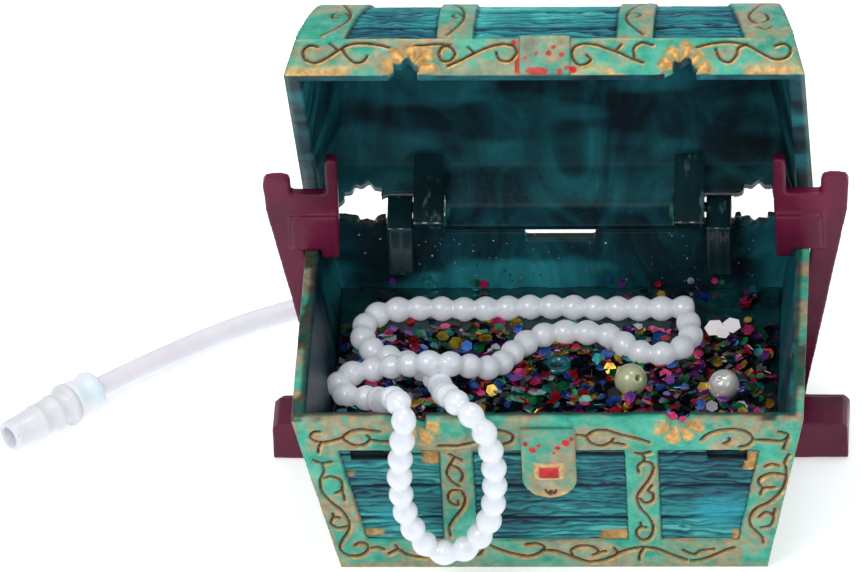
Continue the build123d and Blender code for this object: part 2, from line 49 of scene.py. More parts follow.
forward = Vector((-math.sin(YAW) * math.cos(PITCH), math.cos(YAW) * math.cos(PITCH), -math.sin(PITCH)))
level = Vector((math.cos(YAW), math.sin(YAW), 0))
upright = level.cross(forward)
cam_right = math.cos(ROLL) * level + math.sin(ROLL) * upright
cam_up = -math.sin(ROLL) * level + math.cos(ROLL) * upright
camera = bpy.data.objects.new("camera", bpy.data.cameras.new("camera"))
camera.data.lens = 567.1
camera.data.sensor_width = 36.0
camera.data.clip_start = 0.1
camera.data.clip_end = 100.0
camera.location = AIM - forward * CAMERA_DISTANCE - cam_right * AIM_LEFT + cam_up * AIM_UP
turn = Matrix((cam_right, cam_up, -forward)).transposed()
camera.rotation_mode = "QUATERNION"
camera.rotation_quaternion = turn.to_quaternion()
bpy.context.collection.objects.link(camera)
bpy.context.scene.camera = camera
bpy.context.scene.view_settings.view_transform = "Standard"


# ---------------- materials
def linear(rgb):
    """An sRGB colour from 0 to 255 as linear RGBA."""
    return tuple((c / 255) ** 2.2 for c in rgb) + (1.0,)


class Paint:
    """A principled material with short calls for the nodes that feed it."""

    def __init__(self, name, **values):
        self.mat = bpy.data.materials.new(name)
        self.mat.use_nodes = True
        self.tree = self.mat.node_tree
        self.bsdf = self.tree.nodes["Principled BSDF"]
        self.feed(**values)
        self.place = self.add("TexCoord").outputs["Object"]

    def put(self, socket, value):
        if isinstance(value, bpy.types.NodeSocket):
            self.tree.links.new(value, socket)
        else:
            socket.default_value = value

    def feed(self, **sockets):
        """Sets or links the shader's own inputs by name."""
        for key, value in sockets.items():
            self.put(self.bsdf.inputs[key.replace("_", " ")], value)

    def add(self, kind, **inputs):
        """A new node, with its inputs set or linked by name."""
        node = self.tree.nodes.new("ShaderNode" + kind)
        for key, value in inputs.items():
            self.put(node.inputs[key.replace("_", " ")], value)
        return node

    def noise(self, scale, stretch=(1, 1, 1), detail=4, rough=0.55, warp=0.0):
        mapped = self.add("Mapping", Scale=stretch, Vector=self.place).outputs["Vector"]
        return self.add("TexNoise", Scale=scale, Detail=detail, Roughness=rough, Distortion=warp,
                        Vector=mapped).outputs["Fac"]

    def cells(self, scale, out="Distance"):
        return self.add("TexVoronoi", Scale=scale, Vector=self.place).outputs[out]

    def mask(self, name):
        node = self.add("Attribute")
        node.attribute_name = name
        return node.outputs["Fac"]

    def math(self, kind, a, b):
        node = self.add("Math")
        node.operation = kind
        self.put(node.inputs[0], a)
        self.put(node.inputs[1], b)
        return node.outputs[0]

    def between(self, value, low, high):
        node = self.add("MapRange", Value=value, From_Min=low, From_Max=high)
        node.interpolation_type = "SMOOTHSTEP"
        return node.outputs["Result"]

    def ramp(self, value, *stops):
        node = self.add("ValToRGB", Fac=value)
        elements = node.color_ramp.elements
        while len(elements) < len(stops):
            elements.new(0.5)
        for element, (at, rgb) in zip(elements, stops):
            element.position = at
            element.color = linear(rgb)
        return node.outputs["Color"]

    def mix(self, amount, a, b):
        node = self.add("Mix", Factor=amount)
        node.data_type = "RGBA"
        for socket, value in ((node.inputs[6], a), (node.inputs[7], b)):
            self.put(socket, linear(value) if isinstance(value, tuple) else value)
        return node.outputs[2]

    def blend(self, amount, a, b):
        """Like mix, for plain numbers."""
        node = self.add("Mix", Factor=amount)
        self.put(node.inputs[2], a)
        self.put(node.inputs[3], b)
        return node.outputs[0]

    def bump(self, height, depth, strength=0.6):
        self.feed(Normal=self.add("Bump", Strength=strength, Distance=depth, Height=height).outputs["Normal"])

def band_colour(p, worn):
    """Mint rubbed with copper."""
    broad = p.noise(95, detail=5)
    fine = p.noise(620, detail=5)
    mint = p.ramp(p.noise(190, detail=6, rough=0.65), (0.25, (34, 116, 98)), (0.48, (64, 162, 138)),
                  (0.75, (104, 192, 166)))
    rub = p.math("MULTIPLY", p.between(broad, 0.44, 0.60), p.between(fine, 0.25, 0.58))
    rub = p.math("MAXIMUM", p.math("MULTIPLY", rub, 0.9), p.math("MULTIPLY", worn, 0.85))
    copper = p.ramp(p.noise(480), (0.3, (118, 116, 92)), (0.6, (176, 142, 110)), (0.85, (214, 172, 130)))
    return p.mix(rub, mint, copper)


def chest_paint():
    """Banded outside with gold lips round brown grooves, streaked planks, and dark teal inside."""
    p = Paint("chest_paint", Specular_IOR_Level=0.20)
    band = band_colour(p, p.mask("worn"))
    streak = p.noise(150, stretch=(0.16, 0.16, 1.5), detail=6, rough=0.62, warp=0.7)
    wide = p.noise(42, stretch=(0.7, 0.7, 1.4), detail=3)
    tone = p.math("ADD", p.math("MULTIPLY", p.mask("grain"), 0.50),
                  p.math("ADD", p.math("MULTIPLY", streak, 0.50), p.math("MULTIPLY", wide, 0.62)))
    plank = p.ramp(tone, (0.52, (7, 18, 30)), (0.68, (22, 56, 76)), (0.82, (34, 108, 120)),
                   (0.95, (52, 156, 154)), (1.0, (92, 190, 184)))
    plank = p.mix(p.math("MULTIPLY", p.mask("cyan"), p.between(streak, 0.35, 0.6)), plank, (52, 170, 188))
    outside = p.mix(p.mask("plank"), band, plank)
    gold = p.ramp(p.noise(700, detail=3), (0.3, (166, 118, 66)), (0.55, (208, 164, 100)),
                  (0.8, (238, 200, 142)))
    outside = p.mix(p.mask("gild"), outside, gold)
    outside = p.mix(p.mask("splash"), outside, (186, 40, 44))
    outside = p.mix(p.mask("lip"), outside, gold)
    groove = p.ramp(p.noise(500, detail=2), (0.35, (46, 30, 22)), (0.7, (98, 58, 34)))
    outside = p.mix(p.mask("groove"), outside, groove)
    # Near-black teal: dark paint on the rim's inner half, painted shade in recess corners and in the water
    # slots, and darker along the back rim and round the vents.
    outside = p.mix(p.mask("dirt"), outside, (9, 22, 27))
    swirl = p.noise(60, stretch=(1, 1, 0.45), detail=5, rough=0.6, warp=1.6)
    inner = p.ramp(swirl, (0.30, (9, 22, 28)), (0.46, (14, 42, 50)), (0.60, (18, 68, 78)),
                   (0.85, (36, 112, 122)))
    # A lit copy of the inside colour where the glow mask is: painted light.
    inner = p.mix(p.mask("glow"), inner, p.ramp(swirl, (0.3, (18, 78, 90)), (0.7, (50, 146, 154))))
    p.feed(Base_Color=p.mix(p.mask("inside"), outside, inner))
    matt = p.blend(p.noise(300), 0.36, 0.62)
    p.feed(Roughness=p.blend(p.mask("inside"), matt, p.blend(swirl, 0.24, 0.44)))
    p.feed(Metallic=p.math("MULTIPLY", p.math("MAXIMUM", p.mask("lip"), p.mask("gild")), 0.45))
    p.bump(p.noise(900, detail=6, rough=0.7), 0.00022, 0.5)
    return p.mat


def lock_paint():
    p = Paint("lock_paint", Specular_IOR_Level=0.20)
    base = band_colour(p, 0.12)
    gold = p.ramp(p.noise(600), (0.35, (176, 130, 78)), (0.7, (232, 190, 130)))
    red = p.ramp(p.noise(500), (0.35, (150, 28, 34)), (0.65, (206, 52, 52)))
    look = p.mix(p.mask("gild"), base, gold)
    look = p.mix(p.mask("splash"), look, red)
    look = p.mix(p.mask("groove"), look, (70, 40, 28))
    p.feed(Base_Color=look)
    p.feed(Roughness=p.blend(p.noise(300), 0.35, 0.6))
    p.bump(p.noise(800, detail=6), 0.0002, 0.5)
    return p.mat


def simple(name, dark, light, scale, low_rough, high_rough, bump=0.0001, **values):
    """A moulded material with a mottled colour, uneven gloss and a fine bump."""
    p = Paint(name, **values)
    p.feed(Base_Color=p.ramp(p.noise(scale, detail=5), (0.3, dark), (0.7, light)))
    p.feed(Roughness=p.blend(p.noise(scale * 2.3, detail=4), low_rough, high_rough))
    if bump:
        p.bump(p.noise(scale * 4, detail=4), bump, 0.5)
    return p.mat


def hinge_plastic():
    """Glossy dark teal with thin pale painted highlights that run up and down."""
    p = Paint("hinge_plastic", Coat_Weight=0.6)
    tone = p.ramp(p.noise(70, detail=5), (0.3, (10, 26, 31)), (0.7, (26, 56, 62)))
    # Painted highlights: thin pale streaks that run up and down.
    streak = p.noise(330, stretch=(1.0, 0.5, 0.07), detail=3)
    p.feed(Base_Color=p.mix(p.between(streak, 0.57, 0.70), tone, (84, 112, 118)))
    p.feed(Roughness=p.blend(p.noise(160), 0.14, 0.32))
    p.bump(p.noise(280, detail=4), 0.0001, 0.5)
    return p.mat


def resin():
    p = Paint("glitter_resin", Coat_Weight=0.8, Coat_Roughness=0.06)
    cell = p.cells(420, "Color")
    spark = p.ramp(cell, (0.1, (22, 26, 34)), (0.35, (16, 60, 50)), (0.55, (80, 24, 60)),
                   (0.75, (30, 36, 90)), (0.95, (120, 96, 30)))
    glitter = p.mix(p.between(p.noise(260, detail=4), 0.42, 0.66), (10, 16, 22), spark)
    wash = p.ramp(p.noise(60, stretch=(1, 1, 0.45), detail=5, warp=1.6), (0.35, (8, 32, 38)),
                  (0.75, (18, 78, 80)))
    p.feed(Base_Color=p.mix(p.mask("bare"), glitter, wash))
    p.feed(Roughness=p.blend(p.noise(500), 0.12, 0.4))
    p.bump(p.cells(380), 0.0006, 0.7)
    return p.mat


def pearl(name, dark, light, under, rough, glow=0.0):
    p = Paint(name, Coat_Weight=0.8, Coat_Roughness=0.07, Subsurface_Weight=under,
              Subsurface_Radius=(0.0022, 0.0022, 0.0023), Sheen_Weight=0.15, Emission_Color=(0.9, 0.95, 1, 1),
              Emission_Strength=glow)
    p.bsdf.inputs["Subsurface Scale"].default_value = 1.0
    broad = p.ramp(p.noise(240, detail=3), (0.3, dark), (0.7, light))
    fine = p.ramp(p.noise(500), (0.3, dark), (0.7, light))
    p.feed(Base_Color=p.mix(p.between(p.noise(90), 0.35, 0.7), broad, fine))
    p.feed(Roughness=p.blend(p.noise(400), rough, rough + 0.12))
    return p.mat


M_CHEST = chest_paint()
M_LOCK = lock_paint()
M_RESIN = resin()
M_DARK = simple("inner_plastic", (10, 26, 30), (22, 56, 58), 160, 0.3, 0.5)
M_STONE = simple("ballast_stone", (78, 74, 68), (128, 120, 108), 220, 0.75, 0.95, 0.0006)
M_HINGE = hinge_plastic()
M_PIN = simple("pin_plastic", (20, 30, 34), (44, 58, 60), 200, 0.2, 0.35)
M_BURGUNDY = simple("burgundy_plastic", (74, 18, 42), (112, 30, 62), 70, 0.30, 0.44, 0.00006,
                    Specular_IOR_Level=0.32)
M_COLLAR = simple("collar_plastic", (236, 236, 242), (246, 246, 250), 160, 0.3, 0.45, 0.00004,
                  Subsurface_Weight=0.3)
M_CLEAR = simple("clear_plastic", (240, 241, 249), (250, 250, 254), 120, 0.22, 0.38, 0.00004,
                 Transmission_Weight=0.28, IOR=1.46)
M_TUBE = simple("air_tube_pvc", (208, 213, 230), (224, 228, 242), 60, 0.4, 0.52, 0.00003,
                Subsurface_Weight=0.5)
M_NOZZLE = simple("nozzle_plastic", (10, 66, 84), (26, 128, 140), 300, 0.12, 0.3, Transmission_Weight=0.25,
                  Coat_Weight=0.6)
# The strand glows a little: painted light that lifts the beads shaded inside the chest.
M_STRAND = pearl("strand_pearl", (192, 196, 204), (206, 210, 217), 0.55, 0.28, 0.17)
M_IVORY = pearl("ivory_pearl", (166, 174, 130), (206, 212, 176), 0.2, 0.14)
M_WHITE = pearl("white_pearl", (196, 192, 188), (236, 234, 232), 0.25, 0.14)
M_WHITE.node_tree.nodes["Principled BSDF"].inputs["Metallic"].default_value = 0.3
M_THREAD = simple("strand_thread", (214, 208, 206), (244, 240, 238), 900, 0.6, 0.9)


# ---------------- mesh helpers
LATHE_SIDES = 48
CURVE_STEP = 0.12
CHUNK = 20000


def link(name, verts, faces, material, body, smooth=True):
    mesh = bpy.data.meshes.new(name)
    mesh.from_pydata([tuple(v) for v in verts], [], [tuple(f) for f in faces])
    mesh.materials.append(material)
    if smooth:
        mesh.shade_smooth()
    return placed(name, mesh, body)


def placed(name, mesh, body):
    obj = bpy.data.objects.new(name, mesh)
    bpy.context.collection.objects.link(obj)
    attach(obj, body)
    return obj


def ring_points(centre, side, other, radius, sides):
    turns = [2 * math.pi * k / sides for k in range(sides)]
    return [(centre + (side * math.cos(a) + other * math.sin(a)) * radius) * MM for a in turns]


def ring_faces(count, sides, first=0, closed=False):
    """The faces between rings of points that follow one another."""
    made = []
    for i in range(count if closed else count - 1):
        a, b = first + i * sides, first + (i + 1) % count * sides
        for k in range(sides):
            m = (k + 1) % sides
            made.append((a + k, a + m, b + m, b + k))
    return made


def lathe(name, origin, axis, profile, material, body):
    """A turned piece: profile is a closed list of (distance along the axis, radius), in mm."""
    axis = Vector(axis).normalized()
    side = axis.cross(Vector((0, 0, 1)))
    if side.length < 0.1:
        side = Vector((1, 0, 0))
    side.normalize()
    other = axis.cross(side)
    verts = []
    for along, radius in profile:
        verts += ring_points(Vector(origin) + axis * along, side, other, radius, LATHE_SIDES)
    faces = ring_faces(len(profile), LATHE_SIDES, closed=True)
    obj = link(name, verts, faces, material, body)
    bm = bmesh.new()
    bm.from_mesh(obj.data)
    bmesh.ops.recalc_face_normals(bm, faces=bm.faces)
    bm.to_mesh(obj.data)
    bm.free()
    return obj

def surface(mesh):
    """The mesh's points, in mm, and its normals."""
    points, normals = np.empty(len(mesh.vertices) * 3), np.empty(len(mesh.vertices) * 3)
    mesh.vertices.foreach_get("co", points)
    mesh.vertex_normals.foreach_get("vector", normals)
    return points.reshape(-1, 3) / MM, normals.reshape(-1, 3)


def write_points(mesh, points):
    mesh.vertices.foreach_set("co", (points * MM).ravel())
    mesh.update()


def write_masks(mesh, **masks):
    for name, values in masks.items():
        layer = mesh.attributes.new(name, "FLOAT", "POINT")
        layer.data.foreach_set("value", np.clip(values, 0, 1).astype(np.float32))

def remeshed(node, name, voxel, smooth_times, body, material):
    """A fine even copy of a CAD node's mesh, as a new piece that stands for it."""
    source = NODES[node].data.copy()
    source.materials.clear()
    obj = bpy.data.objects.new(name, source)
    bpy.context.collection.objects.link(obj)
    bm = bmesh.new()
    bm.from_mesh(source)
    bmesh.ops.remove_doubles(bm, verts=bm.verts, dist=1e-6)
    bm.to_mesh(source)
    bm.free()
    even = obj.modifiers.new("even", "REMESH")
    even.mode = "VOXEL"
    even.voxel_size = voxel * MM
    if smooth_times:
        soft = obj.modifiers.new("soft", "SMOOTH")
        soft.iterations = smooth_times
        soft.factor = 0.5
    made = bpy.data.meshes.new_from_object(obj.evaluated_get(bpy.context.evaluated_depsgraph_get()))
    obj.modifiers.clear()
    obj.data = made
    made.name = name
    made.materials.clear()
    made.materials.append(material)
    made.shade_smooth()
    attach(obj, body)
    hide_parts(node)
    return obj


def step(x, low, high):
    t = np.clip((x - low) / (high - low), 0, 1)
    return t * t * (3 - 2 * t)


def fall(x, low, high):
    return 1 - step(x, low, high)


def patchy(u, v, seed, octaves=4):
    """Smooth seeded noise over a plane, from 0 to 1."""
    total, weight = np.zeros_like(u), 0.0
    for k in range(octaves):
        table = np.random.RandomState(seed * 31 + k).rand(64, 64)
        a, b = u * 2**k + 17.3 * k, v * 2**k + 9.1 * k
        i, j = np.floor(a).astype(int), np.floor(b).astype(int)
        fa, fb = a - i, b - j
        fa, fb = fa * fa * (3 - 2 * fa), fb * fb * (3 - 2 * fb)
        i0, i1, j0, j1 = i % 64, (i + 1) % 64, j % 64, (j + 1) % 64
        value = (table[i0, j0] * (1 - fa) + table[i1, j0] * fa) * (1 - fb)
        value += (table[i0, j1] * (1 - fa) + table[i1, j1] * fa) * fb
        total += value * 0.5**k
        weight += 0.5**k
    return total / weight


def spots(u, v, seed, low, high):
    """Where seeded noise rises from low to high."""
    return step(patchy(u, v, seed), low, high)


def blots(u, v, places, seed, rough, core):
    """Ragged round spots of paint, each placed by its (u, v, radius)."""
    wave = rough * (patchy(u, v, seed) - 0.5)
    return np.max([fall(np.hypot(u - cu, v - cv) + wave, r * core, r) for cu, cv, r in places], axis=0)


def smooth_curve(points):
    """Points along a soft curve through the given ones."""
    pts = [points[0]] + list(points) + [points[-1]]
    made = []
    for a, b, c, d in zip(pts, pts[1:], pts[2:], pts[3:]):
        a, b, c, d = (np.array(p, float) for p in (a, b, c, d))
        count = max(2, int(np.linalg.norm(c - b) / CURVE_STEP))
        for t in np.linspace(0, 1, count, endpoint=False):
            made.append(0.5 * (2 * b + (c - a) * t + (2 * a - 5 * b + 4 * c - d) * t**2
                               + (3 * b - a - 3 * c + d) * t**3))
    made.append(np.array(points[-1], float))
    return made


def distance_to(u, v, curves, shift=(0.0, 0.0)):
    """Each point's distance to the nearest of the curves, which may be shifted."""
    line = np.array([p for c in curves for p in smooth_curve(c)]) + np.array(shift)
    near = np.full(u.shape, 99.0)
    for start in range(0, len(u), CHUNK):
        part = slice(start, start + CHUNK)
        gap = (u[part, None] - line[None, :, 0]) ** 2 + (v[part, None] - line[None, :, 1]) ** 2
        near[part] = np.sqrt(gap.min(axis=1))
    return near


# ---------------- cords: the air tube and the pearl strand
AIR_ROUTE = [
    (0, 34, 8), (0, 44, 8), (-11, 58, 4.2), (-30, 62.5, 2.2), (-52, 55.8, 2.1), (-73.5, 44.2, 2.2),
    (-93.9, 23.4, 4.5),
]
STRAND_ROUTE = [
    (26.9, 19.8, 26.95), (11, 19.4, 27.0), (-3, 20.6, 26.95), (-17, 19.2, 27.0), (-29, 20.2, 26.95),
    (-36.4, 18.4, 27.0), (-39.4, 12.2, 27.0), (-37.2, 6.2, 27.0), (-33.4, 3.4, 27.0), (-29.5, 1.6, 27.2),
    (-25.6, -1.8, 27.8), (-23.0, -6.4, 28.6), (-21.9, -11.4, 30.4),
    (-21.2, -17.2, 34.0), (-20.6, -24.5, 38.6), (-19.6, -31.6, 44.0), (-16.6, -36.6, 44.8),
    (-12.8, -39.2, 42.6), (-10.8, -39.6, 37.0), (-10.2, -39.4, 28.2), (-11.4, -39.2, 18.6),
    (-16.6, -39.0, 11.0), (-23.4, -39.0, 10.8), (-28.0, -39.2, 18.8), (-29.2, -39.4, 28.4),
    (-28.4, -39.6, 37.0), (-27.4, -39.0, 43.0), (-29.0, -34.6, 45.2), (-31.2, -27.5, 39.8),
    (-32.4, -19.5, 33.4), (-34.4, -12.8, 28.8), (-38.2, -10.2, 27.4), (-42.6, -9.2, 27.4),
    (-42.6, -3.2, 27.2), (-36.6, -1.8, 28.0), (-30.4, -4.6, 31.0), (-23.6, -7.6, 34.0),
    (-17.0, -4.8, 31.0), (-11.6, -1.8, 28.0), (-8.4, 5.6, 27.2),
    (-3.0, 11.4, 27.0), (4.4, 12.0, 26.95), (11.2, 10.6, 27.0), (15.0, 5.4, 26.95), (20.6, 3.8, 27.0),
    (25.0, 6.4, 26.95), (27.0, 10.6, 27.0), (25.3, 16.9, 26.95),
]
AIR_RADIUS = 2.0
BEAD_RADIUS = 2.52
BEAD_NECK = 1.72
BEAD_PITCH = 4.35
BEAD_BLEND = 8
STRAND_END_RADIUS = 0.7


def spline_through(name, route, resolution=24):
    """A curve object with one soft NURBS spline that has the route as its control points."""
    data = bpy.data.curves.new(name, "CURVE")
    data.dimensions = "3D"
    spline = data.splines.new("NURBS")
    spline.points.add(len(route) - 1)
    for point, place in zip(spline.points, route):
        point.co = (*(c * MM for c in place), 1)
    spline.order_u = 3
    spline.use_endpoint_u = True
    data.resolution_u = resolution
    obj = bpy.data.objects.new(name, data)
    bpy.context.collection.objects.link(obj)
    return obj


def line_points(route):
    """Points along the route's spline, in mm."""
    obj = spline_through("route", route)
    mesh = bpy.data.meshes.new_from_object(obj)
    points = [v.co / MM for v in mesh.vertices]
    bpy.data.objects.remove(obj)
    bpy.data.meshes.remove(mesh)
    return points


def even_points(points, count):
    lengths = [0.0]
    for a, b in zip(points, points[1:]):
        lengths.append(lengths[-1] + (b - a).length)
    made, i = [], 0
    for k in range(count):
        want = lengths[-1] * k / (count - 1)
        while i < len(points) - 2 and lengths[i + 1] < want:
            i += 1
        t = (want - lengths[i]) / max(lengths[i + 1] - lengths[i], 1e-9)
        made.append(points[i].lerp(points[i + 1], t))
    return made, lengths[-1]


air_tube = spline_through("air_tube_run", AIR_ROUTE, 16)
air_tube.data.bevel_depth = AIR_RADIUS * MM
air_tube.data.bevel_resolution = 8
air_tube.data.use_fill_caps = True
air_tube.data.materials.append(M_TUBE)
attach(air_tube, "base")
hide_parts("air_tube")
_, air_length = even_points(line_points(AIR_ROUTE), 2)

# The strand: fused beads as one turned skin along the spline, closed at both ends.
raw = line_points(STRAND_ROUTE)
_, strand_length = even_points(raw, 2)
BEADS = round(strand_length / BEAD_PITCH)
RINGS_PER_BEAD, RING_SIDES = 12, 18
ring_count = BEADS * RINGS_PER_BEAD + 1
rings, _ = even_points(raw, ring_count)
bead_random = random.Random(11)
bead_size = [1 + bead_random.uniform(-0.035, 0.02) for _ in range(BEADS)]
verts = []
side = Vector((0, 0, 1))
for i, here in enumerate(rings):
    along = (rings[min(i + 1, ring_count - 1)] - rings[max(i - 1, 0)]).normalized()
    side = (side - along * side.dot(along)).normalized()
    bead = min(i // RINGS_PER_BEAD, BEADS - 1)
    t = (i / RINGS_PER_BEAD - bead - 0.5) * strand_length / BEADS
    radius = math.sqrt(max((BEAD_RADIUS * bead_size[bead]) ** 2 - t * t, 0.0))
    radius = (radius**BEAD_BLEND + BEAD_NECK**BEAD_BLEND) ** (1 / BEAD_BLEND)
    if i in (0, ring_count - 1):
        radius = STRAND_END_RADIUS
    verts += ring_points(here, side, along.cross(side), radius, RING_SIDES)
faces = ring_faces(ring_count, RING_SIDES)
faces.append(tuple(range(RING_SIDES - 1, -1, -1)))
faces.append(tuple((ring_count - 1) * RING_SIDES + k for k in range(RING_SIDES)))
strand = link("pearl_strand_beads", verts, faces, M_STRAND, "base")
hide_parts("pearl_strand")

# The thread's frayed tip, where the strand's two ends meet.
HAIRS, HAIR_RINGS, HAIR_SIDES = 7, 5, 5
HAIR_TURN, HAIR_STEP, HAIR_SAG = 0.9, 0.42, 0.05
HAIR_RADIUS, HAIR_THINS = 0.2, 0.035
tip = rings[-1] + Vector((0.2, 1.4, 0.4))
verts, faces = [], []
for n in range(HAIRS):
    first = len(verts)
    lean = Vector((math.cos(n * HAIR_TURN) * 0.9, math.sin(n * HAIR_TURN) * 0.9, 0.5 + 0.12 * n))
    for j in range(HAIR_RINGS):
        centre = tip + lean * (j * HAIR_STEP) + Vector((0, 0, -HAIR_SAG * j * j))
        thick = HAIR_RADIUS - HAIR_THINS * j
        for k in range(HAIR_SIDES):
            a = 2 * math.pi * k / HAIR_SIDES
            verts.append((centre + Vector((math.cos(a), math.sin(a), 0.3)) * thick) * MM)
    faces += ring_faces(HAIR_RINGS, HAIR_SIDES, first)
    faces.append(tuple(len(verts) - HAIR_SIDES + k for k in range(HAIR_SIDES)))
    faces.append(tuple(first + HAIR_SIDES - 1 - k for k in range(HAIR_SIDES)))
thread = link("strand_thread_tip", verts, faces, M_THREAD, "base")

# Collar and clear socket on the free end of the tube.
FITTING_AXIS = Vector((-0.71, -0.704, 0)).normalized()
FITTING_START = Vector(AIR_ROUTE[-1])
collar = lathe("tube_collar_turned", FITTING_START, FITTING_AXIS,
               [(0.0, 2.05), (0.0, 3.5), (0.25, 3.95), (0.8, 4.2), (1.6, 4.25), (2.4, 4.0), (3.2, 3.86),
                (4.2, 3.9), (5.2, 4.1), (5.9, 4.2), (6.3, 4.0), (6.5, 3.6), (6.5, 1.0), (0.6, 1.0),
                (0.6, 2.05)],
               M_COLLAR, "base")
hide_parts("tube_collar")
socket = lathe("clear_connector_turned", FITTING_START, FITTING_AXIS,
               [(6.52, 2.05), (6.52, 4.0), (6.8, 4.36), (7.8, 4.38), (8.1, 4.1), (8.3, 3.5), (10.2, 3.42),
                (10.5, 3.62), (11.2, 3.64), (11.5, 3.42), (14.6, 3.36), (14.9, 3.55), (15.5, 3.56),
                (15.8, 3.3), (20.6, 3.12), (21.8, 3.18), (22.4, 3.0), (22.58, 2.7), (22.58, 2.1),
                (22.2, 2.05)],
               M_CLEAR, "base")
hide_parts("clear_connector")


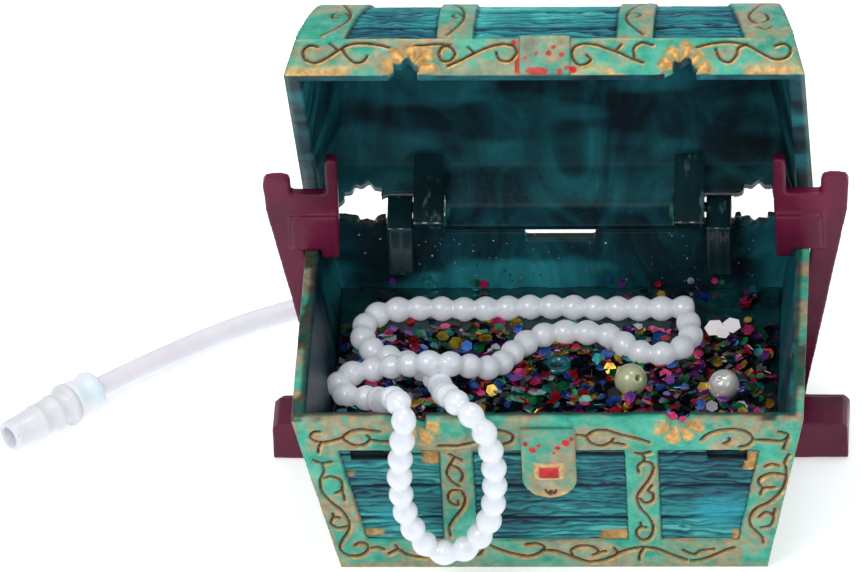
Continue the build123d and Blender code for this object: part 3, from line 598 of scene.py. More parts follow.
# ---------------- vines, in mm on their own face
# Front face of the base: X to the right, and the distance down the wall from the rim.
BASE_VINES = [
    # Right half of the top band.
    [(5.7, 4.2), (7.3, 4.6), (8.4, 6.4), (10.2, 7.3), (12.0, 6.5), (12.8, 5.3)],
    [(12.2, 6.3), (13.4, 6.6), (14.9, 7.0)],
    [(7.5, 4.5), (9.2, 3.1), (11.3, 2.9), (14, 4.1), (17.2, 5.2), (19.7, 6.3)],
    [(29.8, 5.6), (31.4, 3.9), (34, 2.9), (37, 2.8), (39.1, 3.8), (39.9, 5.5), (38.9, 7.1), (37.3, 7.6)],
    [(39.9, 5.6), (43, 5.8), (45.6, 6.0), (46.9, 4.8)],
    [(45.0, 3.4), (46.8, 4.3), (46.4, 6.2), (45.8, 8.2)],
    [(34.2, 6.7), (35.4, 5.9), (35.2, 5.2)],
    # Left half of the top band.
    [(-44.4, 3.2), (-45.7, 3.4), (-46.4, 4.7), (-45.5, 5.9), (-44.0, 6.1), (-42.2, 5.8), (-40.1, 5.0)],
    [(-40.1, 5.0), (-39.3, 3.9), (-37.9, 2.9), (-35.8, 2.7), (-32.7, 3.2)],
    [(-40.1, 5.0), (-39.4, 5.9), (-37.8, 7.0), (-36.0, 6.8), (-34.7, 5.4), (-35.3, 4.3)],
    [(-34.7, 5.4), (-32.8, 5.9), (-30.8, 6.0)],
    [(-44.2, 6.1), (-44.8, 7.4), (-45.0, 9.0)],
    [(-21.5, 7.2), (-18, 7.2), (-14.6, 6.3), (-13.0, 5.2)],
    [(-12.6, 3.4), (-9.5, 3.0), (-7.0, 4.2), (-7.2, 6.0), (-9.0, 6.8)],
    # Right corner band.
    [(46.9, 9.8), (46.0, 11.9), (46.3, 14.9), (45.4, 19.4), (43.0, 22.8), (40.2, 24.9), (38.9, 27.3),
     (39.1, 30.0), (41.0, 32.8), (41.3, 34.6)],
    [(45.8, 15.4), (43.7, 15.0), (41.7, 15.8), (40.7, 17.4), (41.6, 19.4)],
    [(41.0, 21.0), (41.7, 19.3), (43.9, 18.9)],
    [(42.1, 13.2), (43.4, 12.5), (44.9, 12.9)],
    [(40.6, 27.4), (42.0, 26.0), (43.4, 27.2), (42.8, 29.7), (40.9, 30.2)],
    [(43.4, 27.2), (43.8, 25.0)],
    # Left corner band.
    [(-46.1, 11.2), (-44.5, 12.0), (-42.5, 11.6)],
    [(-44.4, 12.0), (-44.2, 14.4), (-45.0, 16.9), (-44.8, 19.8), (-43.3, 22.8), (-41.1, 25.4),
     (-39.9, 28.3), (-40.0, 30.8), (-41.2, 33.3), (-42.0, 35.8), (-41.0, 37.7), (-38.7, 38.2),
     (-36.8, 37.0), (-36.5, 35.2), (-37.8, 34.4), (-39.0, 35.2)],
    [(-44.3, 16.2), (-42.7, 15.8), (-41.0, 16.9), (-40.8, 19.4), (-42.2, 20.4)],
    [(-40.9, 18.9), (-40.4, 22.4)],
    [(-40.3, 29.8), (-42.2, 30.2), (-43.4, 29.0), (-42.9, 27.4), (-41.6, 27.4)],
    [(-42.8, 27.4), (-43.0, 26.2)],
    # Right post.
    [(16.9, 9.2), (18.0, 9.6), (19.9, 9.0)],
    [(17.9, 9.4), (18.7, 10.6), (18.4, 11.8)],
    [(17.4, 14.7), (17.3, 13.0), (18.5, 11.8), (19.9, 12.2), (20.3, 13.9), (19.3, 16.9), (17.9, 19.4),
     (16.9, 21.8), (17.5, 24.8), (19.0, 27.3), (19.8, 30.2), (19.2, 32.8), (17.7, 33.8), (16.6, 32.7),
     (16.5, 31.2), (17.4, 30.1), (18.5, 30.3)],
    [(17.6, 30.2), (17.3, 28.9)],
    [(17.4, 22.0), (18.4, 23.3), (19.8, 22.7), (20.1, 21.0), (19.2, 19.9), (19.9, 18.4)],
    # Left post.
    [(-19.4, 9.5), (-18.3, 10.4), (-17.0, 11.3)],
    [(-18.3, 10.4), (-19.5, 12.7), (-20.1, 14.9), (-19.3, 17.1), (-17.8, 18.6)],
    [(-19.1, 12.6), (-17.7, 13.7), (-17.0, 15.6), (-17.5, 17.2)],
    [(-17.6, 19.8), (-19.3, 19.8), (-20.1, 21.3), (-19.7, 23.2), (-18.3, 24.0), (-18.2, 22.7)],
    [(-17.3, 20.2), (-16.8, 22.3), (-17.5, 24.8), (-19.0, 27.3), (-20.2, 29.8), (-20.1, 32.4)],
    # Bottom band.
    [(-35.8, 36.0), (-34.4, 35.8), (-33.2, 36.4)],
    [(-32.4, 37.6), (-30.5, 36.5), (-28.7, 37.9), (-25.8, 38.5), (-22.4, 37.4), (-19.6, 36.4),
     (-17.2, 37.4), (-15.0, 38.0), (-13.9, 36.5), (-15.2, 35.4)],
    [(-30.5, 36.4), (-31.0, 35.2)],
    [(-13.1, 34.8), (-9.8, 36.8), (-5.3, 38.3), (-2.8, 37.4), (-1.7, 35.9), (-3.3, 34.7), (-5.4, 35.0)],
    [(-2.2, 36.6), (0.2, 36.8), (2.4, 37.8), (4.6, 38.9), (7.3, 39.9), (11.2, 38.7), (13.8, 36.9),
     (17.0, 35.9), (20.1, 36.2), (23.1, 37.9), (26.1, 39.4)],
    [(3.8, 38.3), (3.5, 36.7), (5.2, 35.4), (7.6, 35.6), (8.9, 37.2), (7.7, 38.0)],
    [(8.9, 37.2), (10.3, 37.0)],
    [(12.8, 37.6), (11.9, 36.0)],
    [(17.9, 35.9), (17.0, 37.7), (16.8, 39.5)],
    [(25.4, 36.7), (27.6, 37.9), (29.0, 36.8), (31.6, 36.4)],
    [(27.0, 39.6), (28.6, 39.4), (31.0, 38.4), (33.6, 36.8), (35.6, 35.9)],
]
# Front band of the lid: X to the right, and the distance up from the lid's edge.
LID_VINES = [
    [(-44.1, 6.3), (-45.7, 6.6), (-46.9, 5.5), (-46.5, 3.6), (-44.3, 2.9), (-42.2, 4.0), (-40.1, 5.5),
     (-38.1, 6.7), (-35.3, 7.0), (-32.5, 6.7), (-30.1, 6.1)],
    [(-41.8, 7.0), (-40.4, 5.8)],
    [(-39.4, 5.9), (-38.4, 4.3), (-37.0, 3.0), (-35.3, 3.1), (-34.4, 4.4)],
    [(-25.2, 6.3), (-21.5, 6.8), (-18.4, 6.7)],
    [(-20.6, 4.7), (-19.9, 6.2), (-18.4, 6.2), (-17.4, 4.7), (-18.4, 3.2), (-19.9, 3.3), (-20.6, 4.7)],
    [(-18.7, 2.1), (-16.3, 3.3), (-13.5, 4.9), (-10.7, 6.2), (-8.0, 6.8), (-5.9, 6.2), (-5.5, 4.7),
     (-6.9, 3.1), (-8.7, 3.5), (-9.4, 5.1)],
    [(-14.9, 6.2), (-13.6, 4.9)],
    [(8.2, 4.4), (9.0, 3.3), (7.9, 2.4), (6.4, 2.5), (5.3, 4.3), (5.7, 6.0), (7.5, 6.8), (9.9, 6.6),
     (12.3, 5.7), (14.4, 4.9), (16.8, 3.7), (19.2, 2.7)],
    [(14.9, 6.6), (13.8, 5.2)],
    [(17.5, 3.9), (17.3, 5.8), (18.8, 7.0), (21.0, 6.5)],
    [(33.3, 5.6), (34.1, 3.5), (35.8, 2.7), (37.2, 4.1), (37.6, 5.7), (39.3, 6.6)],
    [(29.6, 6.0), (32.7, 6.8), (36.2, 7.0), (39.3, 6.4), (42.1, 4.7), (44.8, 3.3), (47.1, 3.8), (47.8, 5.5),
     (46.6, 6.7), (44.8, 6.2)],
]
# Arch of the lid: X to the right, and the distance over the arch from the front band's top.
ARCH_VINES = [
    [(-19.1, 0.5), (-16.8, 5.1), (-16.1, 9.8), (-17.0, 15.6), (-19.4, 22)],
    [(-16.2, 9.4), (-17.4, 10.8), (-18.4, 9.4), (-17.4, 7.9)],
    [(19.2, 0.5), (16.3, 5.1), (15.5, 9.0), (16.6, 14), (19.4, 22)],
    [(15.6, 9.4), (17.0, 10.8), (18.3, 9.6), (17.5, 8.0)],
    [(-43.6, 0.5), (-40.2, 4), (-38.6, 7.5), (-38.4, 11), (-39.4, 16), (-40.4, 21)],
    [(-38.4, 9.5), (-39.8, 11.6), (-41.6, 10.8), (-41.8, 8.6), (-40.4, 7.8)],
    [(42.4, 21), (40.0, 12), (39.4, 9), (40.0, 6.4), (41.6, 5), (43.2, 7), (42.6, 10), (41.2, 10.6)],
    [(41.2, 3.6), (42.8, 2.4), (44.0, 3.4)],
]


CURL_POINTS, CURL_TURN, CURL_SHRINK = 9, 0.62, 0.07


def wavy_vine(start, end, waves, swing, curl):
    """A stem that swings from side to side, with a curl on each bend."""
    start, end = np.array(start, float), np.array(end, float)
    along = (end - start) / np.linalg.norm(end - start)
    across = np.array((-along[1], along[0]))
    stem = []
    for k in range(2 * waves + 1):
        stem.append(start + (end - start) * k / (2 * waves) + across * swing * (0, 1, 0, -1)[k % 4])
    curves = [[tuple(p) for p in stem]]
    for k in range(1, 2 * waves, 2):
        hand = 1 if k % 4 == 1 else -1
        centre = stem[k] - across * hand * (swing + curl * 0.55)
        turns = []
        for j in range(CURL_POINTS):
            a = j * CURL_TURN
            r = curl * (1 - CURL_SHRINK * j)
            turns.append(tuple(centre + across * hand * r * math.cos(a) + along * r * math.sin(a)))
        curves.append(turns)
    return curves


def groove_masks(u, v, curves, lip_shift):
    """How deep each point lies in a vine's groove, and how much it stands on the groove's lip."""
    groove = fall(distance_to(u, v, curves), 0.12, 0.42)
    return groove, fall(distance_to(u, v, curves, lip_shift), 0.16, 0.50) * (1 - groove)


def plank_relief(u, v, seed, seam):
    """Wood grain along u, from 0 to 1, with a seam between planks at each multiple of seam."""
    warp = patchy(u * 0.10, v * 0.30, seed) * 3.4
    grain = patchy(u * 0.075 + 5, v * 0.85 + warp, seed + 1, 3)
    lines = np.abs(np.sin((v * 1.25 + warp * 1.6 + 2.4 * patchy(u * 0.16, v * 0.5, seed + 2)) * 1.9))
    place = (v + 0.5 * patchy(u * 0.09, v * 0, seed + 3)) % seam
    seams = fall(np.abs(place - seam / 2), 0.18, 0.5)
    return np.clip(0.55 * grain + 0.45 * lines - 0.75 * seams, 0, 1)


def leaf_clump(u, v, centre, reach, seed, ribs=7):
    """Ribs that fan out round a broken notch: their height, and how far the gold reaches."""
    du, dv = u - centre[0], v - centre[1]
    away = np.hypot(du / reach[0], dv / reach[1])
    fade = fall(away + 0.30 * (patchy(u * 0.5, v * 0.5, seed) - 0.5), 0.62, 1.0)
    fan = np.abs(np.sin(np.arctan2(dv, du) * ribs / 2 + 2.2 * patchy(u * 0.28, v * 0.28, seed + 4)))
    return fade * (0.25 + 0.75 * fan), fade


class Relief:
    """Moves and masks for one shell, kept as numbers on its points."""

    NAMES = ("plank", "grain", "groove", "lip", "gild", "worn", "splash", "cyan", "dirt", "inside", "glow")

    def __init__(self, count):
        self.away = np.zeros((count, 3))
        self.masks = {n: np.zeros(count) for n in self.NAMES}

    def most(self, where, **masks):
        """Keeps the larger of each named mask and the values given for it."""
        for name, values in masks.items():
            self.masks[name][where] = np.maximum(self.masks[name][where], values)

    def lay(self, where, height, direction, **masks):
        """Moves the points by height along a direction, and adds to their masks."""
        self.away[where] += height[:, None] * direction
        self.most(where, **masks)

    def store(self, mesh, points):
        write_points(mesh, points)
        write_masks(mesh, **self.masks)


ALL = slice(None)

# ---------------- chest base
BASE_HEIGHT, HALF_LENGTH, HALF_DEPTH = 41.0, 50.0, 36.0
END_TAPER, SIDE_TAPER = 8.0, 6.4
NOTCH_X, NOTCH_RADIUS = 25.5, 2.4
VENT_X, VENT_RADIUS = 38.6, 3.6
SLOT_X, SLOT_HALF_WIDTH, SLOT_DROP, SLOT_HALF_HEIGHT = 34.8, 3.8, 10.2, 1.3
BASE_PLANK, TOP_BAND_EDGE = 8.9, 8.6
SHELL_VOXEL = 0.30
SKIN_DEPTH = 1.5
lean_front = math.atan2(SIDE_TAPER, BASE_HEIGHT)
lean_end = math.atan2(END_TAPER, BASE_HEIGHT)
end_vines = [curve for run in (((-30, 4.3), (30, 4.3), 5, 1.5, 1.5), ((-23, 37.6), (23, 37.6), 4, 1.2, 1.3),
                               ((-28.0, 9), (-25.4, 33), 3, 0.8, 1.1), ((28.0, 9), (25.4, 33), 3, 0.8, 1.1))
             for curve in wavy_vine(*run)]

base = remeshed("base_shell", "base_shell_painted", SHELL_VOXEL, 1, "base", M_CHEST)
pts, nrm = surface(base.data)
relief = Relief(len(pts))
X, Y, Z = pts.T
outermost = np.full(len(pts), -99.0)
for face, (out, lean, reach) in enumerate((
        ((0, -1, 0), lean_front, HALF_DEPTH), ((0, 1, 0), lean_front, HALF_DEPTH),
        ((1, 0, 0), lean_end, HALF_LENGTH), ((-1, 0, 0), lean_end, HALF_LENGTH))):
    out = np.array(out)
    normal = out * math.cos(lean) + np.array((0, 0, -math.sin(lean)))
    w = (pts - out * reach - np.array((0, 0, BASE_HEIGHT))) @ normal
    outermost = np.maximum(outermost, w)
    where = np.where((nrm @ normal > 0.62) & (w > -SKIN_DEPTH))[0]
    u, depth = (X, -X, Y, -Y)[face][where], w[where]
    v = (BASE_HEIGHT - Z[where]) / math.cos(lean)
    plank = fall(depth, -0.80, -0.35)
    on_band = 1 - plank
    if face < 2:
        curves, clumps = BASE_VINES, (NOTCH_X, -NOTCH_X)
        wall_end = HALF_LENGTH - END_TAPER * v / BASE_HEIGHT
    else:
        curves, clumps = end_vines, ()
        wall_end = HALF_DEPTH - SIDE_TAPER * v / BASE_HEIGHT
    groove, lip = groove_masks(u, v, curves, (0.30, 0.42))
    groove, lip = groove * on_band, lip * on_band
    grain = plank_relief(u, v + 3.0, 40 + face, BASE_PLANK)
    height = -0.42 * groove + 0.16 * lip + plank * (0.62 * grain - 0.12)
    height += on_band * 0.14 * (patchy(u * 0.35, v * 0.35, 7 + face) - 0.5)
    gild = np.zeros(len(where))
    for x in clumps:
        ribs, gold = leaf_clump(u, v, (x, 1.0), (6.2, 6.6), 70 + face)
        height += on_band * 0.75 * ribs * (v < 9)
        gild = np.maximum(gild, on_band * gold * step(ribs, 0.25, 0.75))
    if face == 0:
        # A raised disc in the vine, and the shallow hollow behind the lock plate.
        height += on_band * 0.5 * fall(np.hypot(u + 18.2, v - 3.9), 2.3, 3.0)
        height -= on_band * 0.5 * fall(np.hypot(u, v - 4.5) / 4.6, 0.7, 1.0) * 0.3
        # Gold rubbed into corners of the plank panels, and a nail head.
        for cu, cv, ru, rv in ((-22.9, 10.6, 2.0, 1.9), (-35.0, 31.8, 2.0, 0.9), (12.4, 32.4, 2.8, 1.2),
                               (39.8, 11.6, 1.7, 2.6), (36.3, 32.6, 1.0, 1.3), (-38.9, 15.5, 0.65, 0.65)):
            edge = np.maximum(np.abs(u - cu) / ru, np.abs(v - cv) / rv)
            patch = plank * fall(edge + 0.5 * (patchy(u * 0.8, v * 0.8, 90) - 0.5), 0.85, 1.15)
            gild = np.maximum(gild, patch)
            height += 0.35 * patch
        red = blots(u, v, ((-4.6, 7.0, 0.9), (-3.2, 8.3, 1.0), (-1.6, 7.6, 0.7), (0.4, 8.2, 0.6),
                           (1.6, 7.2, 0.8), (3.2, 6.6, 0.9), (4.6, 6.9, 0.7), (2.6, 8.4, 0.5)), 93, 0.9, 0.6)
        cyan = np.maximum(fall(np.hypot((u - 33.5) / 7.5, (v - 25.5) / 7.5), 0.35, 1.0),
                          0.75 * fall(np.hypot((u + 31) / 5, (v - 27) / 4), 0.3, 1.0))
        relief.most(where, splash=red * on_band, cyan=cyan * plank)
    worn = np.max([
        step(v, 39.0, 41.5) * patchy(u * 0.12, v * 0.3, 33) * 1.6,
        fall(np.abs(v - TOP_BAND_EDGE), 0.1, 0.7) * spots(u * 0.2, v * 0.2, 36, 0.55, 0.7),
        0.9 * step(np.abs(u) - wall_end, -1.4, -0.2) * spots(u * 0.3, v * 0.16, 39, 0.45, 0.65),
        0.8 * fall(distance_to(u, v, curves), 0.5, 1.7) * spots(u * 0.16, v * 0.16, 44, 0.38, 0.6)], axis=0)
    # Painted shade in the corners where the plank panels step down from the bands.
    relief.lay(where, height, normal, worn=worn * on_band, plank=plank, grain=grain, groove=groove,
               lip=lip * (0.35 + 0.9 * patchy(u * 0.3, v * 0.3, 48)), gild=gild,
               dirt=0.8 * step(depth, -1.1, -0.85) * fall(depth, -0.62, -0.3))

inner = fall(outermost, -2.1, -1.6)
rim = step(Z, BASE_HEIGHT - 0.5, BASE_HEIGHT - 0.1)
relief.most(ALL, inside=inner * (1 - rim * step(outermost, -2.9, -1.8)))
# Painted light: a paler wash on the back wall's inside and on the right end's inside, the inner faces that
# the light falls on.
back_glow = spots(X * 0.045, Z * 0.10 + Y * 0.05, 51, 0.50, 0.70) * step(Y, 10, 25)
right_glow = step(X, 38, 43) * spots(Y * 0.09, Z * 0.07, 53, 0.42, 0.62)
relief.most(ALL, glow=inner * np.maximum(0.75 * back_glow, 0.6 * right_glow))
# Dark paint on the inner half of the rim; darker along the back rim's top and round the vents; painted shade
# in the water slots.
blotch = spots(X * 0.16, Y * 0.10, 57, 0.52, 0.66) * step(np.abs(X), 40, 43)
relief.most(ALL, dirt=rim * np.clip(fall(outermost, -1.9, -0.9) + blotch, 0, 1) * 0.8,
            worn=rim * spots(X * 0.2 + 9, Y * 0.14, 59, 0.58, 0.7))
back_rim = step(nrm[:, 2], 0.3, 0.6) * step(Y, 24, 27) * (np.abs(X) < 46)
to_vent = np.hypot(np.abs(X) - VENT_X, Z - BASE_HEIGHT) - VENT_RADIUS
near_vent = fall(to_vent, 1.0, 1.8)
relief.most(ALL, dirt=0.9 * np.maximum(back_rim, near_vent * (Y > 20)))
drop = (BASE_HEIGHT - Z) / math.cos(lean_front)
slot_gap = np.maximum(np.abs(np.abs(X) - SLOT_X) - SLOT_HALF_WIDTH,
                      np.abs(drop - SLOT_DROP) - SLOT_HALF_HEIGHT)
relief.most(ALL, dirt=fall(slot_gap, 0.0, 0.5) * (Y < -20))
# Chipped rim, and ragged scallops round the vents and notches.
moved = pts + relief.away
moved[:, 2] += np.minimum(rim * (patchy(X * 0.22, Y * 0.22, 60) - 0.45) * 1.1, 0.18)


def ragged(points, rest, centre_x, centre_z, radius, depth_range, teeth, size):
    """Scallops the edge of a round opening through a front or back wall."""
    dx, dz = rest[:, 0] - centre_x, rest[:, 2] - centre_z
    away = np.hypot(dx, dz)
    near = (away < radius + 1.1) & (rest[:, 1] > depth_range[0]) & (rest[:, 1] < depth_range[1])
    angle = np.arctan2(dz, dx)
    wave = size * (np.abs(np.sin(angle * teeth / 2 + centre_x)) - 0.35) + 0.3 * size * np.sin(angle * 3 + 1)
    pull = np.where(near, wave * fall(away, radius + 0.2, radius + 1.1), 0)
    points[:, 0] -= pull * dx / np.maximum(away, 0.1)
    points[:, 2] -= pull * dz / np.maximum(away, 0.1)


for hand in (-1, 1):
    ragged(moved, pts, hand * VENT_X, BASE_HEIGHT, VENT_RADIUS, (20, 40), 9, 0.8)
    ragged(moved, pts, hand * NOTCH_X, BASE_HEIGHT, NOTCH_RADIUS, (-40, -20), 6, 0.6)
relief.store(base.data, moved)
# ---------------- lid, worked on as if shut
HINGE_Y, HINGE_Z = 34.6, 41.0
OPEN_ANGLE = math.radians(57)
RIM_Z, BAND_HEIGHT, LID_RISE = 41.2, 8.0, 25.0
END_SLOPE = 0.268
ARCH_HALF = 34.2
ARCH_RISE = LID_RISE - BAND_HEIGHT
ARCH_RADIUS = (ARCH_HALF**2 + ARCH_RISE**2) / (2 * ARCH_RISE)
ARCH_Z = RIM_Z + LID_RISE - ARCH_RADIUS
ARCH_ANGLE = math.asin(ARCH_HALF / ARCH_RADIUS)
LID_NOTCH_X, LID_NOTCH_RADIUS = 27.0, 3.2
LID_VENT_X, LID_VENT_RADIUS = 39.0, 4.8
STRAP_INNER, STRAP_OUTER, CORNER_BAND = 14.0, 21.0, 9.0
LID_HALF_DEPTH, LID_SKIN = 35.4, 1.1
ARCH_PLANK, END_PLANK = 9.6, 5.4
FLAP_X, FLAP_GROWS = (22.2, 23.2), 0.42


def swing(points, angle, offset=True):
    """Turns points (or directions) about the hinge line. A positive angle shuts the open lid."""
    pivot = np.array((0, HINGE_Y, HINGE_Z)) * offset
    x, y, z = (points - pivot).T
    c, s = math.cos(angle), math.sin(angle)
    return np.stack((x, y * c - z * s, y * s + z * c), axis=1) + pivot


def shut_surface(mesh):
    """The surface of a piece of the lid, turned to where it lies when the lid is shut."""
    points, normals = surface(mesh)
    return swing(points, OPEN_ANGLE), swing(normals, OPEN_ANGLE, offset=False)


lid = remeshed("lid_shell", "lid_shell_painted", SHELL_VOXEL, 1, "lid", M_CHEST)
pts, nrm = shut_surface(lid.data)
relief = Relief(len(pts))
X, Y, Z = pts.T
end_x = HALF_LENGTH - END_SLOPE * (Z - RIM_Z)
radial = np.hypot(Y, Z - ARCH_Z)
outward = np.stack([np.zeros_like(Y), Y / radial, (Z - ARCH_Z) / radial], axis=1)
arch_len = ARCH_RADIUS * (ARCH_ANGLE + np.arctan2(Y, Z - ARCH_Z))
in_band = Z < RIM_Z + BAND_HEIGHT + 0.1
skin = np.maximum(np.where(in_band, np.abs(Y) - LID_HALF_DEPTH, radial - ARCH_RADIUS), np.abs(X) - end_x)

for face, sign in ((0, -1), (1, 1)):
    where = np.where(in_band & (Y * sign > LID_HALF_DEPTH - LID_SKIN) & (nrm[:, 1] * sign > 0.55)
                     & (Z > RIM_Z - 0.5))[0]
    u, v = X[where] * -sign, Z[where] - RIM_Z
    groove, lip = groove_masks(u, v, LID_VINES, (0.26, -0.40))
    height = -0.40 * groove + 0.26 * lip + 0.12 * (patchy(u * 0.35, v * 0.35, 107 + face) - 0.5)
    gild = np.maximum(0.85 * fall(v, 0.6, 3.4) * spots(u * 0.09, v * 0.2, 131, 0.48, 0.62),
                      0.6 * step(v, 7.3, 7.9) * spots(u * 0.14, v * 0.1, 133, 0.5, 0.62))
    for x in (LID_NOTCH_X, -LID_NOTCH_X + 1.0):
        ribs, gold = leaf_clump(u, v, (x, 1.2), (6.6, 7.2), 120 + face, 9)
        height += 1.0 * ribs * gold
        gild = np.maximum(gild, gold * step(ribs, 0.2, 0.7))
    if face == 0:
        for cu, cv, ru, rv in ((-5.35, 2.0, 0.35, 2.1), (-6.0, 7.0, 0.6, 0.8), (5.6, 1.2, 0.9, 0.9)):
            relief.most(where, splash=fall(np.hypot((u - cu) / ru, (v - cv) / rv), 0.7, 1.1))
    relief.lay(where, height, np.array((0, float(sign), 0)), groove=groove, gild=gild,
               lip=np.clip(lip * (0.6 + 0.9 * patchy(u * 0.3, v * 0.3, 139)), 0, 1),
               worn=0.75 * spots(u * 0.12, v * 0.22, 137, 0.5, 0.68))

# The arch: planks under two straps and the corner bands.
where = np.where(~in_band & (radial > ARCH_RADIUS - 0.9) & ((nrm * outward).sum(axis=1) > 0.55))[0]
u, v = X[where], arch_len[where]
half_arch = ARCH_RADIUS * ARCH_ANGLE
mirrored = np.where(v > half_arch, 2 * half_arch - v, v)
from_end, off_centre = end_x[where] - np.abs(u), np.abs(u)
on_strap = (step(off_centre, STRAP_INNER - 0.2, STRAP_INNER + 0.2)
            * fall(off_centre, STRAP_OUTER - 0.2, STRAP_OUTER + 0.2))
raised = np.maximum(fall(from_end, CORNER_BAND - 0.25, CORNER_BAND + 0.25), on_strap)
groove, lip = groove_masks(u, mirrored, ARCH_VINES, (0.30, -0.40))
groove, lip = groove * raised, lip * raised
grain = plank_relief(u, v, 150, ARCH_PLANK)
edge = np.min([np.abs(off_centre - STRAP_INNER), np.abs(off_centre - STRAP_OUTER),
               np.abs(from_end - CORNER_BAND)], axis=0)
# Painted shade on the planks along the edges of the straps and corner bands.
relief.lay(where, raised * (1.0 - 0.45 * groove + 0.12 * lip) + (1 - raised) * (0.72 * grain - 0.1),
           outward[where], plank=1 - raised, grain=grain, groove=groove,
           lip=lip * (0.3 + 0.8 * patchy(u * 0.3, v * 0.3, 151)),
           worn=raised * 0.8 * spots(u * 0.2, v * 0.08, 153, 0.50, 0.70),
           dirt=(1 - raised) * fall(edge, 0.2, 0.9) * 0.7)

# End walls: an edge band that follows the arch, with planks inside it.
for sign in (-1, 1):
    where = np.where((sign * nrm[:, 0] > 0.6) & (np.abs(X) > end_x - 0.9))[0]
    u, v = Y[where] * sign, Z[where] - RIM_Z
    band = fall(np.where(v < BAND_HEIGHT, 0, ARCH_RADIUS - radial[where]), 5.2, 5.7)
    groove, lip = groove_masks(u, v, wavy_vine((-30, 4.0), (30, 4.0), 5, 1.4, 1.4), (0.3, -0.4))
    groove, lip = groove * (v < 7.6), lip * (v < 7.6)
    grain = plank_relief(u, v, 160 + sign, END_PLANK)
    relief.lay(where, band * (0.7 - 0.4 * groove + 0.1 * lip) + (1 - band) * (0.6 * grain - 0.1),
               np.array((float(sign), 0, 0)), plank=1 - band, grain=grain, groove=groove * band,
               lip=lip * band * 0.8, worn=band * 0.8 * spots(u * 0.12, v * 0.2, 167, 0.5, 0.68))

# Inside: whatever faces inward or down, or lies deep under the skin.
side_facing = np.where(in_band, nrm[:, 1] * np.sign(Y), (nrm * outward).sum(axis=1))
facing = np.maximum(side_facing, nrm[:, 0] * np.sign(X))
relief.most(ALL, inside=np.max([fall(skin, -2.3, -1.9), fall(facing, 0.0, 0.35) * fall(skin, -0.8, -0.3),
                                step(-nrm[:, 2], 0.35, 0.75) * in_band], axis=0))
# Painted light in paler patches over the lid's inside, in the lit copy of the inside colour.
wash = step(patchy(X * 0.055, arch_len * 0.12, 171, 3), 0.46, 0.72)
relief.most(ALL, glow=relief.masks["inside"] * 0.5 * wash)
# Darker round the lid's vents.
to_vent = np.hypot(np.abs(X) - LID_VENT_X, Z - BASE_HEIGHT) - LID_VENT_RADIUS
near_vent = fall(to_vent, 0.8, 1.8)
relief.most(ALL, dirt=0.9 * near_vent * (Y > 25))
# The back flap grows sideways a little, over the slits beside it.
moved = pts + relief.away
flap_side = (np.abs(X) > FLAP_X[0]) & (np.abs(X) < FLAP_X[1]) & (np.abs(nrm[:, 0]) > 0.4) & (Y > 28)
moved[:, 0] += np.where(flap_side & (X * nrm[:, 0] > 0), FLAP_GROWS * np.sign(X), 0)
for hand in (-1, 1):
    ragged(moved, pts, hand * LID_VENT_X, BASE_HEIGHT, LID_VENT_RADIUS, (25, 40), 11, 0.9)
    ragged(moved, pts, hand * LID_NOTCH_X, RIM_Z, LID_NOTCH_RADIUS, (-40, -25), 7, 0.9)
relief.store(lid.data, swing(moved, -OPEN_ANGLE))
# ---------------- lock plates
LOCK_VOXEL, SUPPORT_VOXEL, HINGE_VOXEL = 0.22, 0.34, 0.26
LUG_FOOT_RISE, LUG_FOOT_REACH = 4.6, 9.0

plate = remeshed("base_lock_plate", "base_lock_plate_painted", LOCK_VOXEL, 3, "base", M_LOCK)
pts, nrm = surface(plate.data)
normal = np.array((0, -math.cos(lean_front), -math.sin(lean_front)))
u, v = pts[:, 0], (BASE_HEIGHT - pts[:, 2]) / math.cos(lean_front)
front = step(nrm @ normal, 0.5, 0.8)
box_edge = np.maximum(np.abs(u) / 2.15, np.abs(v - 13.0) / 1.6) + 0.10 * (patchy(u, v, 210) - 0.5)
outline = step(box_edge, 0.9, 1.0) * fall(box_edge, 1.25, 1.45)
red = np.maximum(fall(box_edge, 0.84, 1.0), blots(u, v, (
    (-4.4, 6.6, 0.8), (-3.0, 7.9, 1.0), (-1.8, 7.0, 0.6), (2.0, 7.4, 0.8), (3.4, 6.4, 0.9), (4.6, 5.4, 0.6),
    (1.2, 8.4, 0.5)), 212, 0.8, 0.6))
mark = [[(-0.9, 18.6), (-0.3, 19.9), (0.2, 18.8), (0.8, 19.9), (1.2, 18.7)], [(0.1, 19.6), (0.1, 20.2)]]
scratch = fall(distance_to(u, v, mark), 0.15, 0.4)
foot = step(v, 17.0, 20.5) * spots(u * 0.4, v * 0.4, 214, 0.30, 0.55)
side_gold = step(np.abs(u), 4.4, 5.2) * spots(u * 0.4, v * 0.25, 216, 0.45, 0.6) * (v > 9)
write_masks(plate.data, splash=red * front, gild=np.max([outline, 0.8 * foot, side_gold], axis=0),
            groove=scratch * front)
swell = 0.4 * fall(box_edge, 0.9, 1.1) + 0.2 * outline + 0.25 * (patchy(u * 0.5, v * 0.5, 218) - 0.5)
swell += 0.7 * fall(np.hypot(u / 5.2, (v - 13) / 9), 0.2, 1.0) - 0.3 * scratch
# The plate's top sinks into the band.
proud = (pts - np.array((0, -HALF_DEPTH, BASE_HEIGHT))) @ normal
swell -= np.maximum(proud - 0.05, 0) * fall(v, 5.0, 10.0)
write_points(plate.data, pts + (front * swell)[:, None] * normal)

